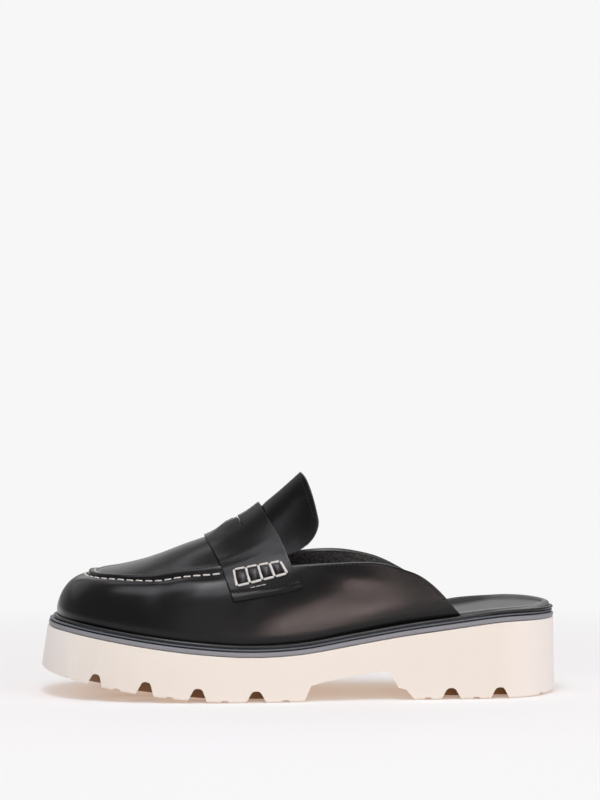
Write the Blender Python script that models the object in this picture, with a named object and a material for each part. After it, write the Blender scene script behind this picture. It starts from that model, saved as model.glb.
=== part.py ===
"""Backless penny loafer for the left foot, on a thick lugged sole.

The sole's top outline is one closed curve, and every ring of the sole, midsole, welt, insole and
upper is that curve moved in or out. The upper, strap and tongue are cut from one last form: a wall
that rises from the feather line to the apron seam, and a crown that rises from the seam to the
instep ridge. Sizes are in millimetres here and are written to the meshes in metres. The toe points
along -X, the outer side of the foot faces -Y, and the floor is Z = 0.
"""

import math
from collections import namedtuple

import bmesh
import bpy
import numpy as np
from mathutils import Matrix

MM = 0.001
WELD = 0.0005
SHARP_ANGLE = 35.0

# Driving sizes
LENGTH = 275.0
BALL_WIDTH = 98.5
HEEL_HEIGHT = 40.1
INSTEP = 72.0
TOE_SPRING = 14.1
HEEL_SPRING = 1.2
GAP = 0.3

LATERAL = -1
MEDIAL = 1
SIDES = (LATERAL, MEDIAL)

# Top outline of the outsole: shares of the length from the heel, and of the ball width from the axis
Outline = namedtuple("Outline", "along lateral medial")
OUTLINE = (
    Outline(0.045, 0.262, 0.262),
    Outline(0.118, 0.360, 0.355),
    Outline(0.209, 0.386, 0.360),
    Outline(0.300, 0.406, 0.350),
    Outline(0.391, 0.437, 0.360),
    Outline(0.482, 0.477, 0.401),
    Outline(0.573, 0.513, 0.447),
    Outline(0.664, 0.528, 0.472),
    Outline(0.747, 0.518, 0.472),
    Outline(0.820, 0.482, 0.455),
    Outline(0.882, 0.424, 0.424),
    Outline(0.936, 0.325, 0.356),
    Outline(0.973, 0.173, 0.244),
)
TOE_TIP_SWING = 5.0
TOE_FLARE = 3.3
BALL_FLARE = 2.2
HEEL_FLARE = 0.6
OUTLINE_STEPS = 40

# Height of the outsole's top edge, in shares of the heel height
Seat = namedtuple("Seat", "along top")
SEAT = (
    Seat(0.000, 1.000),
    Seat(0.107, 0.993),
    Seat(0.202, 0.915),
    Seat(0.300, 0.823),
    Seat(0.398, 0.711),
    Seat(0.496, 0.603),
    Seat(0.594, 0.574),
    Seat(0.691, 0.616),
    Seat(0.789, 0.696),
    Seat(0.885, 0.798),
    Seat(0.944, 0.863),
    Seat(1.000, 0.908),
)
SPRING_START = -35.0
SPRING_POWER = 1.65
HEEL_SPRING_START = 114.0

# Last form: inset and height of the apron seam over the feather line, and height of the ridge.
# Insets are shares of the ball width, heights are shares of the instep height over the seat.
Last = namedtuple("Last", "along seam_in seam_up ridge_up")
LAST = (
    Last(0.173, 0.100, 0.840, 1.400),
    Last(0.355, 0.112, 0.810, 1.390),
    Last(0.456, 0.128, 0.735, 1.361),
    Last(0.500, 0.134, 0.672, 1.222),
    Last(0.573, 0.142, 0.597, 1.000),
    Last(0.653, 0.148, 0.509, 0.801),
    Last(0.718, 0.152, 0.471, 0.687),
    Last(0.791, 0.155, 0.409, 0.548),
    Last(0.864, 0.158, 0.371, 0.440),
    Last(0.907, 0.163, 0.346, 0.390),
    Last(0.973, 0.172, 0.314, 0.352),
)
CROWN_POWER = 1.7
RIDGE_SHIFT = 3.0
TOE_FOCUS = -95.0
HEEL_FOCUS = 107.0
FOCUS_SPREAD = 0.15
FOCUS_BLEND = 14.0

# Topline behind the throat on each side, in shares of the instep height over the seat
Topline = namedtuple("Topline", "along lateral medial")
TOPLINE = (
    Topline(0.174, 0.025, 0.025),
    Topline(0.184, 0.079, 0.030),
    Topline(0.203, 0.130, 0.075),
    Topline(0.223, 0.200, 0.132),
    Topline(0.262, 0.340, 0.264),
    Topline(0.301, 0.430, 0.378),
    Topline(0.340, 0.503, 0.476),
    Topline(0.379, 0.539, 0.543),
    Topline(0.418, 0.560, 0.590),
    Topline(0.496, 0.592, 0.627),
    Topline(0.573, 0.578, 0.592),
    Topline(0.609, 0.560, 0.560),
)
THROAT = -30.0
WING_END = {LATERAL: 89.5, MEDIAL: 86.0}

# Raised roll along the apron seam: height over the crown at each distance in from the seam
Roll = namedtuple("Roll", "inside up")
ROLL = (
    Roll(0.0, -0.4),
    Roll(1.2, 0.8),
    Roll(2.8, 1.8),
    Roll(4.2, 2.1),
    Roll(5.3, 1.2),
    Roll(6.6, 0.0),
)
ROLL_FADE_FROM = -44.0
ROLL_FADE_TO = -34.0
ROLL_UNDER_STRAP = 0.3

WALL = 1.8
WALL_SHARES = (0.0, 0.16, 0.32, 0.48, 0.63, 0.77, 0.89, 1.0)
CROWN_SHARES = (0.22, 0.47, 0.73, 1.0)
TOE_STATIONS = 18
WING_STATIONS = 14

# Sections of the layers under the upper: inset from the top outline and height over their base
Edge = namedtuple("Edge", "inset up")
MIDSOLE_THICKNESS = 3.9
MIDSOLE_EDGE = (
    Edge(1.2, 0.0),
    Edge(0.7, 0.5),
    Edge(0.7, 2.1),
    Edge(1.1, 2.5),
    Edge(1.9, 2.7),
    Edge(1.9, 3.0),
    Edge(1.3, 3.2),
    Edge(1.3, 3.7),
    Edge(1.6, MIDSOLE_THICKNESS),
)
WELT_EDGE = (
    Edge(4.2, 0.0),
    Edge(2.1, 0.0),
    Edge(1.6, 0.5),
    Edge(1.6, 1.1),
    Edge(2.1, 1.7),
    Edge(3.0, 1.9),
    Edge(4.2, 1.7),
)
FEATHER_INSET = 4.5
INSOLE_EDGE = (
    Edge(0.5, 0.0),
    Edge(0.0, 0.4),
    Edge(0.0, 3.4),
    Edge(0.8, 4.4),
    Edge(2.2, 4.7),
    Edge(5.6, 4.6),
    Edge(7.2, 3.6),
    Edge(14.0, 2.7),
)
INSOLE_MIDDLE = 2.4
INSOLE_STEP = (1.2, 3.8, 6.4, 9.0)
SOLE_STATIONS = 40

# Side of the outsole from the floor up: share of the flare, inset, share of the height, and lift
SoleSide = namedtuple("SoleSide", "flared inset height lift")
SOLE_SIDE = (
    SoleSide(1.00, 0.8, 0.0, 0.0),
    SoleSide(0.95, 0.0, 0.0, 0.8),
    SoleSide(0.50, 0.0, 0.5, 0.0),
    SoleSide(0.00, 0.0, 1.0, -0.8),
    SoleSide(0.00, 0.5, 1.0, 0.0),
)

# Saddle strap: its front and rear edges run back from the ridge to the ends on the wall
STRAP = 1.7
STRAP_LIFT = 0.4
STRAP_BRIDGE = 1.5
STRAP_BRIDGE_WIDTH = 5.5
STRAP_FRONT = (-50.0, -34.4)
STRAP_REAR = (-19.9, 1.9)
STRAP_END_ANGLE = 38.0
STRAP_WALL_ROWS = 6
STRAP_CROWN_SHARES = (0.28, 0.55)
STRAP_FRONT_SHARES = (0.0, 0.34, 0.68, 1.0)
STRAP_REAR_SHARES = (0.0, 0.35, 0.7, 1.0)
SLOT_AT = 0.63
SLOT_OPENING = 0.3
SLOT_HALF_LENGTH = 12.5
SLOT_ROWS = 3

# Tongue: it starts under the apron and stands free behind the strap
TONGUE = 2.4
TONGUE_FRONT = -46.0
TONGUE_REAR = 1.2
TONGUE_SWEEP = 12.8
TONGUE_SWEEP_ROUND = 0.15
TONGUE_CORNER = 13.0
TONGUE_CORNER_FROM = 0.8
TONGUE_EDGE = 0.02
TONGUE_RISE_FROM = -28.0
TONGUE_RISE_TO = -16.0
TONGUE_SHARES = (1.0, 0.975, 0.945, 0.91, 0.87, 0.81, 0.7, 0.54, 0.36, 0.2, 0.08)
TONGUE_STEPS = 8

# Tread: notches cut into both sides, shallow nicks in the lugs, and grooves along the middle
Notch = namedtuple("Notch", "at floor_width crown_width height")
NOTCHES = (
    Notch(-107.3, 8.0, 3.4, 6.2),
    Notch(-80.8, 9.5, 4.0, 7.0),
    Notch(-53.3, 10.0, 4.0, 6.6),
    Notch(-22.6, 10.5, 4.0, 5.8),
    Notch(79.9, 10.5, 4.0, 5.8),
    Notch(105.8, 10.0, 4.0, 5.8),
)
NOTCH_ROUND = 1.2
NOTCH_REACH = 17.0
NICKS = (-122.0, -95.5, -67.8, -39.0, -7.1, 67.7, 93.3, 129.0)
NICK_WIDTH = 4.5
NICK_CROWN = 2.6
NICK_HEIGHT = 1.1
NICK_ROUND = 0.3
NICK_REACH = 9.0
Groove = namedtuple("Groove", "toe_end heel_end offset")
GROOVES = (
    Groove(-112.0, -4.0, -17.0),
    Groove(-112.0, -4.0, 17.0),
    Groove(67.0, 122.0, -13.0),
    Groove(67.0, 122.0, 13.0),
)
GROOVE_WIDTH = 6.0
GROOVE_DEPTH = 4.6
GROOVE_STEPS = 10
CUT_BELOW = 4.0
CUT_ASIDE = 70.0
SLOPE_STEP = 1.0

# Arch between the forefoot and the heel, seen from the side
Arch = namedtuple("Arch", "at up")
ARCH = (
    Arch(1.2, -CUT_BELOW),
    Arch(2.4, 0.0),
    Arch(6.1, 8.2),
    Arch(13.6, 10.2),
    Arch(26.0, 12.4),
    Arch(37.2, 14.3),
    Arch(44.9, 15.2),
    Arch(47.6, 14.2),
    Arch(49.9, 10.4),
    Arch(51.9, 6.4),
    Arch(56.0, 5.3),
    Arch(60.6, 0.0),
    Arch(63.2, -CUT_BELOW),
)

Finish = namedtuple("Finish", "colour roughness")
FINISHES = {
    "outsole": Finish((0.84, 0.77, 0.69), 0.65),
    "midsole": Finish((0.21, 0.23, 0.26), 0.55),
    "welt": Finish((0.018, 0.018, 0.02), 0.5),
    "insole": Finish((0.04, 0.04, 0.042), 0.6),
    "upper": Finish((0.012, 0.012, 0.013), 0.35),
    "strap": Finish((0.012, 0.012, 0.013), 0.35),
    "tongue": Finish((0.012, 0.012, 0.013), 0.38),
}


def x_at(along):
    """Place along the shoe for a share of its length from the heel."""
    return LENGTH * (0.5 - along)


def smooth_step(value):
    share = min(max(value, 0.0), 1.0)
    return share * share * (3.0 - 2.0 * share)


class Table:
    """A short table of sections along the shoe, read by a smooth curve through its rows."""

    def __init__(self, rows):
        rows = sorted(rows, key=lambda row: x_at(row.along))
        self.x = np.array([x_at(row.along) for row in rows])
        self.columns = {name: np.array([getattr(row, name) for row in rows]) for name in rows[0]._fields}
        self.slopes = {name: np.gradient(values, self.x) for name, values in self.columns.items()}

    def read(self, name, x):
        x = min(max(x, self.x[0]), self.x[-1])
        row = min(int(np.searchsorted(self.x, x, side="right")) - 1, len(self.x) - 2)
        span = self.x[row + 1] - self.x[row]
        t = (x - self.x[row]) / span
        values = self.columns[name]
        slopes = self.slopes[name]
        return (
            (1 + 2 * t) * (1 - t) ** 2 * values[row]
            + t * (1 - t) ** 2 * span * slopes[row]
            + t * t * (3 - 2 * t) * values[row + 1]
            + t * t * (t - 1) * span * slopes[row + 1]
        )


SEAT_TABLE = Table(SEAT)
LAST_TABLE = Table(LAST)
TOPLINE_TABLE = Table(TOPLINE)


def sole_top(x):
    return HEEL_HEIGHT * SEAT_TABLE.read("top", x)


def sole_bottom(x):
    """Floor side of the outsole: flat, then rising to the toe, and a little to the heel's end."""
    toe = max(SPRING_START - x, 0.0) / (LENGTH / 2 + SPRING_START)
    heel = max(x - HEEL_SPRING_START, 0.0) / (LENGTH / 2 - HEEL_SPRING_START)
    return TOE_SPRING * toe**SPRING_POWER + HEEL_SPRING * heel**2


def welt_base(x):
    """The midsole's top with its gap, where welt, insole and upper stand."""
    return sole_top(x) + 2 * GAP + MIDSOLE_THICKNESS


def flare(x):
    """How far the outsole's floor edge stands out past its top edge."""
    along = 0.5 - x / LENGTH
    if along > 0.5:
        return BALL_FLARE + (TOE_FLARE - BALL_FLARE) * smooth_step(2 * along - 1)
    return HEEL_FLARE + (BALL_FLARE - HEEL_FLARE) * smooth_step(2 * along)


def outline_points():
    """Closed smooth curve through the outline table, centred across the shoe."""
    toe = (x_at(1.0) + TOE_FLARE, TOE_TIP_SWING)
    heel = (x_at(0.0) - HEEL_FLARE, 0.0)
    outer = [(x_at(row.along), -row.lateral * BALL_WIDTH) for row in reversed(OUTLINE)]
    inner = [(x_at(row.along), row.medial * BALL_WIDTH) for row in OUTLINE]
    knots = np.array([toe, *outer, heel, *inner])
    points = []
    for index in range(len(knots)):
        before, start, end, after = (knots[(index + shift) % len(knots)] for shift in (-1, 0, 1, 2))
        chord = np.linalg.norm(end - start)
        leave = chord * (end - before) / (np.linalg.norm(end - start) + np.linalg.norm(start - before))
        arrive = chord * (after - start) / (np.linalg.norm(after - end) + np.linalg.norm(end - start))
        for step in range(OUTLINE_STEPS):
            t = step / OUTLINE_STEPS
            points.append(
                (1 + 2 * t) * (1 - t) ** 2 * start
                + t * (1 - t) ** 2 * leave
                + t * t * (3 - 2 * t) * end
                + t * t * (t - 1) * arrive
            )
    points = np.array(points)
    points[:, 1] -= 0.5 * (points[:, 1].min() + points[:, 1].max())
    return points


class Loop:
    """The sole's top outline moved in by an inset, read at a place along the shoe on either side."""

    def __init__(self, inset):
        points = outline_points()
        along = np.roll(points, -1, axis=0) - np.roll(points, 1, axis=0)
        inward = np.column_stack((-along[:, 1], along[:, 0]))
        inward /= np.linalg.norm(inward, axis=1)[:, None]
        middle = points.mean(axis=0)
        if np.sum((middle - points) * inward) < 0:
            inward = -inward
        points = points + inward * np.array([inset(x) for x in points[:, 0]])[:, None]
        points = np.roll(points, -int(np.argmin(points[:, 0])), axis=0)
        heel = int(np.argmax(points[:, 0]))
        self.chains = {
            LATERAL: points[: heel + 1],
            MEDIAL: np.vstack((points[:1], points[heel:][::-1])),
        }
        self.toe = points[0, 0]
        self.heel = points[heel, 0]

    def y(self, side, x):
        chain = self.chains[side]
        return float(np.interp(x, chain[:, 0], chain[:, 1]))

    def middle(self, x):
        return 0.5 * (self.y(LATERAL, x) + self.y(MEDIAL, x))

    def place(self, share):
        """Station for a share of the way from toe to heel, closer together at both ends."""
        return self.toe + (self.heel - self.toe) * 0.5 * (1 - math.cos(math.pi * share))

    def share(self, x):
        return math.acos(1 - 2 * (x - self.toe) / (self.heel - self.toe)) / math.pi


TOP_LOOP = Loop(lambda x: 0.0)
FEATHER_LOOP = Loop(lambda x: FEATHER_INSET)


def soft_excess(value):
    """Zero well below zero, the value itself well above, and a smooth bend between."""
    if value <= -FOCUS_BLEND:
        return 0.0
    if value >= FOCUS_BLEND:
        return value
    return (value + FOCUS_BLEND) ** 2 / (4 * FOCUS_BLEND)


def hub_x(x):
    """Where the spoke from a station on the edge meets the axis: it fans at the toe and the heel."""
    turned = 1.0 - FOCUS_SPREAD
    return x + turned * soft_excess(TOE_FOCUS - x) - turned * soft_excess(x - HEEL_FOCUS)


def add_part(name, mesh_data):
    """A mesh built in millimetres becomes a named object in metres."""
    bmesh.ops.scale(mesh_data, vec=(MM, MM, MM), verts=mesh_data.verts)
    bmesh.ops.recalc_face_normals(mesh_data, faces=mesh_data.faces)
    mesh = bpy.data.meshes.new(name)
    mesh_data.to_mesh(mesh)
    mesh_data.free()
    return bpy.data.objects.new(name, mesh)


def finish_part(part, collection):
    """Gives a part its own material and puts it in the shoe's collection."""
    finish = FINISHES[part.name]
    material = bpy.data.materials.new(part.name)
    material.use_nodes = True
    shader = material.node_tree.nodes["Principled BSDF"]
    shader.inputs["Base Color"].default_value = (*finish.colour, 1.0)
    shader.inputs["Roughness"].default_value = finish.roughness
    part.data.materials.append(material)
    part.data.shade_smooth()
    part.data.set_sharp_from_angle(angle=math.radians(SHARP_ANGLE))
    collection.objects.link(part)


def skin(mesh_data, columns, closed):
    """Quads between neighbouring columns of points."""
    grid = [[mesh_data.verts.new(point) for point in column] for column in columns]
    pairs = list(zip(grid, grid[1:]))
    if closed:
        pairs.append((grid[-1], grid[0]))
    for here, there in pairs:
        for low in range(len(here) - 1):
            mesh_data.faces.new((here[low], here[low + 1], there[low + 1], there[low]))
    return grid


def weld(mesh_data):
    bmesh.ops.remove_doubles(mesh_data, verts=mesh_data.verts, dist=WELD)
    bmesh.ops.dissolve_degenerate(mesh_data, edges=mesh_data.edges, dist=WELD)


SOLE_SHARES = [index / SOLE_STATIONS for index in range(SOLE_STATIONS + 1)]


def around(shares):
    """Side and share of each column round a closed edge, from the toe by the outer side."""
    outer = [(LATERAL, share) for share in shares]
    inner = [(MEDIAL, share) for share in reversed(shares[1:-1])]
    return outer + inner


def outsole_body():
    """Slab between the floor and the seat, flared to the floor, before the tread is cut."""
    loops = [Loop(lambda x, row=row: row.inset - row.flared * flare(x)) for row in SOLE_SIDE]
    columns = []
    for side, share in around(SOLE_SHARES):
        column = []
        for loop, row in zip(loops, SOLE_SIDE):
            x = loop.place(share)
            z = sole_bottom(x) + row.height * (sole_top(x) - sole_bottom(x)) + row.lift
            column.append((x, loop.y(side, x), z))
        axis = hub_x(TOP_LOOP.place(share))
        middle = TOP_LOOP.middle(axis)
        columns.append([(axis, middle, sole_bottom(axis)), *column, (axis, middle, sole_top(axis))])
    body = bmesh.new()
    skin(body, columns, closed=True)
    weld(body)
    return body


def notch_cutter(name, at, y, turn, half_length, floor_width, crown_width, height, roundness):
    """Bar of trapezium section across the sole, turned in plan, square to the sole's floor side."""
    rise = sole_bottom(at + SLOPE_STEP) - sole_bottom(at - SLOPE_STEP)
    slope = math.atan2(rise, 2 * SLOPE_STEP)
    cutter = bmesh.new()
    bmesh.ops.create_cube(cutter, size=2.0)
    spread = (floor_width - crown_width) / height
    crown = [vertex for vertex in cutter.verts if vertex.co.z > 0]
    for vertex in cutter.verts:
        top = vertex.co.z > 0
        width = crown_width if top else floor_width + spread * CUT_BELOW
        vertex.co = (0.5 * width * vertex.co.x, half_length * vertex.co.y, height if top else -CUT_BELOW)
    edges = [edge for edge in cutter.edges if all(vertex in crown for vertex in edge.verts)]
    edges = [edge for edge in edges if edge.verts[0].co.x == edge.verts[1].co.x]
    bmesh.ops.bevel(cutter, geom=edges, offset=roundness, segments=2, profile=0.5, affect="EDGES")
    placed = (
        Matrix.Translation((at, y, sole_bottom(at)))
        @ Matrix.Rotation(-slope, 4, "Y")
        @ Matrix.Rotation(turn, 4, "Z")
    )
    bmesh.ops.transform(cutter, matrix=placed, verts=cutter.verts)
    return add_part(name, cutter)


def groove_cutter(name, groove):
    """Box along the sole that follows its toe spring."""
    low = -CUT_BELOW
    columns = []
    for step in range(GROOVE_STEPS + 1):
        x = groove.toe_end + (groove.heel_end - groove.toe_end) * step / GROOVE_STEPS
        floor = sole_bottom(x)
        middle = TOP_LOOP.middle(x) + groove.offset
        left = middle - GROOVE_WIDTH / 2
        right = middle + GROOVE_WIDTH / 2
        high = floor + GROOVE_DEPTH
        section = ((x, left, floor + low), (x, right, floor + low), (x, right, high), (x, left, high))
        columns.append([*section, section[0]])
    cutter = bmesh.new()
    grid = skin(cutter, columns, closed=False)
    cutter.faces.new(grid[0][:4])
    cutter.faces.new(grid[-1][:4])
    weld(cutter)
    return add_part(name, cutter)


def arch_cutter():
    cutter = bmesh.new()
    profile = [cutter.verts.new((row.at, -CUT_ASIDE, row.up)) for row in ARCH]
    face = cutter.faces.new(profile)
    made = bmesh.ops.extrude_face_region(cutter, geom=[face])
    moved = [item for item in made["geom"] if isinstance(item, bmesh.types.BMVert)]
    bmesh.ops.translate(cutter, verts=moved, vec=(0, 2 * CUT_ASIDE, 0))
    return add_part("arch_cutter", cutter)


def tread_cutters():
    made = [arch_cutter()]
    outer = Loop(lambda x: -flare(x))
    for number, notch in enumerate(NOTCHES):
        sizes = (NOTCH_REACH, *notch[1:], NOTCH_ROUND)
        for side in SIDES:
            y = outer.y(side, notch.at)
            made.append(notch_cutter(f"notch_cutter_{number}_{side}", notch.at, y, 0.0, *sizes))
    sizes = (NICK_REACH, NICK_WIDTH, NICK_CROWN, NICK_HEIGHT, NICK_ROUND)
    for number, at in enumerate(NICKS):
        for side in SIDES:
            y = outer.y(side, at)
            axis = hub_x(at)
            turn = -math.atan((axis - at) / (TOP_LOOP.middle(axis) - y))
            made.append(notch_cutter(f"nick_cutter_{number}_{side}", at, y, turn, *sizes))
    for number, groove in enumerate(GROOVES):
        made.append(groove_cutter(f"groove_cutter_{number}", groove))
    return made


def make_outsole(collection, cutter_collection):
    outsole = add_part("outsole", outsole_body())
    for cutter in tread_cutters():
        cutter.hide_render = True
        cutter.display_type = "WIRE"
        cutter_collection.objects.link(cutter)
        cut = outsole.modifiers.new(cutter.name, "BOOLEAN")
        cut.operation = "DIFFERENCE"
        cut.object = cutter
    finish_part(outsole, collection)


def make_midsole(collection):
    """Flat layer with a groove round its edge below a thin lip."""
    loops = [Loop(lambda x, inset=edge.inset: inset) for edge in MIDSOLE_EDGE]
    columns = []
    for side, share in around(SOLE_SHARES):
        column = []
        for loop, edge in zip(loops, MIDSOLE_EDGE):
            x = loop.place(share)
            column.append((x, loop.y(side, x), sole_top(x) + GAP + edge.up))
        axis = hub_x(TOP_LOOP.place(share))
        middle = TOP_LOOP.middle(axis)
        low = sole_top(axis) + GAP
        columns.append([(axis, middle, low), *column, (axis, middle, low + MIDSOLE_THICKNESS)])
    midsole = bmesh.new()
    skin(midsole, columns, closed=True)
    weld(midsole)
    finish_part(add_part("midsole", midsole), collection)


def make_welt(collection):
    """Rounded bead that runs all the way round the shoe."""
    loops = [Loop(lambda x, inset=edge.inset: inset) for edge in WELT_EDGE]
    columns = []
    for side, share in around(SOLE_SHARES):
        column = []
        for loop, edge in zip(loops, WELT_EDGE):
            x = loop.place(share)
            column.append((x, loop.y(side, x), welt_base(x) + edge.up))
        columns.append([*column, column[0]])
    welt = bmesh.new()
    skin(welt, columns, closed=True)
    weld(welt)
    finish_part(add_part("welt", welt), collection)


def insole_inset(x):
    """The insole lies inside the upper's wall, and behind the wings it reaches the welt."""
    inside = FEATHER_INSET + WALL + 2 * GAP
    start = WING_END[LATERAL] + INSOLE_STEP[0]
    end = WING_END[LATERAL] + INSOLE_STEP[-1]
    return inside + (FEATHER_INSET - inside) * smooth_step((x - start) / (end - start))


def make_insole(collection):
    """Footbed with a round rim and a shallow dish."""
    loops = [Loop(lambda x, inset=edge.inset: insole_inset(x) + inset) for edge in INSOLE_EDGE]
    columns = []
    steps = [FEATHER_LOOP.share(WING_END[LATERAL] + step) for step in INSOLE_STEP]
    for side, share in around(sorted(SOLE_SHARES + steps)):
        column = []
        for loop, edge in zip(loops, INSOLE_EDGE):
            x = loop.place(share)
            column.append((x, loop.y(side, x), welt_base(x) + edge.up))
        axis = hub_x(loops[-1].place(share))
        middle = TOP_LOOP.middle(axis)
        low = welt_base(axis)
        columns.append([(axis, middle, low), *column, (axis, middle, low + INSOLE_MIDDLE)])
    insole = bmesh.new()
    skin(insole, columns, closed=True)
    weld(insole)
    finish_part(add_part("insole", insole), collection)


def topline_angle(side, x):
    """How far up the wall the upper is cut: all the way to the seam in front of the throat."""
    if x <= THROAT:
        return math.pi / 2
    column = "lateral" if side == LATERAL else "medial"
    cut = TOPLINE_TABLE.read(column, x) / LAST_TABLE.read("seam_up", x)
    return math.asin(min(cut, 1.0))


class Spoke:
    """One section of the last form, from the feather line in to the instep ridge."""

    def __init__(self, side, x):
        hub = hub_x(x)
        self.x = x
        self.foot = np.array((x, FEATHER_LOOP.y(side, x)))
        self.hub = np.array((hub, FEATHER_LOOP.middle(hub) + RIDGE_SHIFT))
        self.inward = (self.hub - self.foot) / np.linalg.norm(self.hub - self.foot)
        self.base = welt_base(x)
        self.seam_in = BALL_WIDTH * LAST_TABLE.read("seam_in", x)
        self.seam_up = INSTEP * LAST_TABLE.read("seam_up", x)
        self.seam = self.foot + self.inward * self.seam_in
        self.reach = np.linalg.norm(self.hub - self.seam)
        self.ridge = welt_base(hub) + INSTEP * LAST_TABLE.read("ridge_up", hub)

    def wall(self, angle):
        """Point on the wall: a quarter ellipse that ends level at the seam."""
        plan = self.foot + self.inward * self.seam_in * (1 - math.cos(angle))
        return (*plan, self.base + self.seam_up * math.sin(angle))

    def crown(self, inside):
        """Point on the crown, at a distance in from the seam."""
        share = min(inside / self.reach, 1.0)
        plan = self.seam + (self.hub - self.seam) * share
        start = self.base + self.seam_up
        return (*plan, start + (self.ridge - start) * (1 - (1 - share) ** CROWN_POWER))

    def bridge(self, inside):
        """Lift of the strap where it spans the hollow between wall and crown."""
        return STRAP_BRIDGE * math.exp(-((inside / STRAP_BRIDGE_WIDTH) ** 2))

    def roll(self, up):
        """Height of the seam's roll here: it sinks under the strap."""
        fade = smooth_step((self.x - ROLL_FADE_FROM) / (ROLL_FADE_TO - ROLL_FADE_FROM))
        return up * (1 - (1 - ROLL_UNDER_STRAP) * fade)

    def crown_rows(self, shares):
        """Distances in from the seam: the rows of the roll, then shares of what is left."""
        last = ROLL[-1].inside
        return [row.inside for row in ROLL[1:]] + [last + (self.reach - last) * share for share in shares]


def lifted(mesh_data, lifts):
    """Points of an open surface moved along its normals, one lift for each vertex."""
    mesh_data.normal_update()
    return [vertex.co + vertex.normal * lift for vertex, lift in zip(mesh_data.verts, lifts)]


def face_out(mesh_data):
    """Turns an open surface so that its normals point up, away from the foot."""
    bmesh.ops.recalc_face_normals(mesh_data, faces=mesh_data.faces)
    mesh_data.normal_update()
    if sum(face.normal.z * face.calc_area() for face in mesh_data.faces) < 0:
        bmesh.ops.reverse_faces(mesh_data, faces=mesh_data.faces)


def thick_wall(surface, outer_lifts, inner_lifts):
    """Closed solid between two lifts of one open surface."""
    surface.verts.index_update()
    outer = lifted(surface, outer_lifts)
    inner = lifted(surface, inner_lifts)
    solid = bmesh.new()
    top = [solid.verts.new(point) for point in outer]
    bottom = [solid.verts.new(point) for point in inner]
    for face in surface.faces:
        order = [vertex.index for vertex in face.verts]
        solid.faces.new([top[index] for index in order])
        solid.faces.new([bottom[index] for index in reversed(order)])
    for edge in surface.edges:
        if edge.is_boundary:
            first, second = (vertex.index for vertex in edge.verts)
            solid.faces.new((top[first], top[second], bottom[second], bottom[first]))
    surface.free()
    return solid


def upper_stations(side):
    """Places of the upper's sections on one side, from the toe to the end of the wing."""
    toe = FEATHER_LOOP.toe
    front = [
        toe + (THROAT - toe) * (1 - math.cos(math.pi / 2 * step / TOE_STATIONS))
        for step in range(TOE_STATIONS + 1)
    ]
    rear = [
        THROAT + (WING_END[side] - THROAT) * step / WING_STATIONS for step in range(1, WING_STATIONS + 1)
    ]
    return front + rear


def make_upper(collection):
    """Vamp wall with its wings, and the apron inside the raised seam, as one hollow wall."""
    surface = bmesh.new()
    lift_of = surface.verts.layers.float.new("lift")
    for side in SIDES:
        spokes = [Spoke(side, x) for x in upper_stations(side)]
        wall = [
            [spoke.wall(share * topline_angle(side, spoke.x)) for share in WALL_SHARES] for spoke in spokes
        ]
        grid = skin(surface, wall, closed=False)
        apron = spokes[: TOE_STATIONS + 1]
        seam_row = [column[-1] for column in grid[: TOE_STATIONS + 1]]
        crown = [[spoke.crown(inside) for inside in spoke.crown_rows(CROWN_SHARES)] for spoke in apron]
        rows = skin(surface, crown, closed=False)
        for index, spoke in enumerate(apron):
            seam_row[index][lift_of] = spoke.roll(ROLL[0].up)
            for vertex, row in zip(rows[index], ROLL[1:]):
                vertex[lift_of] = spoke.roll(row.up)
            if index:
                here = (seam_row[index - 1], rows[index - 1][0], rows[index][0], seam_row[index])
                surface.faces.new(here)
    weld(surface)
    face_out(surface)
    lifts = [vertex[lift_of] for vertex in surface.verts]
    inner = [-WALL] * len(lifts)
    finish_part(add_part("upper", thick_wall(surface, lifts, inner)), collection)


def strap_rows():
    """Rows across the strap on one side, from its end up to the ridge: how to place each row.

    Each row is a function of a spoke that gives the point there, and how far the strap stands off.
    """
    rows = []
    start = math.radians(STRAP_END_ANGLE)
    for step in range(STRAP_WALL_ROWS):
        angle = start + (math.pi / 2 - start) * step / (STRAP_WALL_ROWS - 1)
        rows.append(
            lambda spoke, angle=angle: (spoke.wall(angle), spoke.bridge(spoke.seam_in * math.cos(angle)))
        )
    for row in ROLL[1:]:
        rows.append(
            lambda spoke, row=row: (
                spoke.crown(row.inside),
                max(spoke.bridge(row.inside), spoke.roll(row.up)),
            )
        )
    last = ROLL[-1].inside
    for share in STRAP_CROWN_SHARES:
        rows.append(
            lambda spoke, share=share: (
                spoke.crown(last + (spoke.reach - SLOT_HALF_LENGTH - last) * share),
                0.0,
            )
        )
    for step in range(SLOT_ROWS + 1):
        left = SLOT_HALF_LENGTH * (1 - step / SLOT_ROWS)
        rows.append(lambda spoke, left=left: (spoke.crown(spoke.reach - left), 0.0))
    return rows


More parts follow.
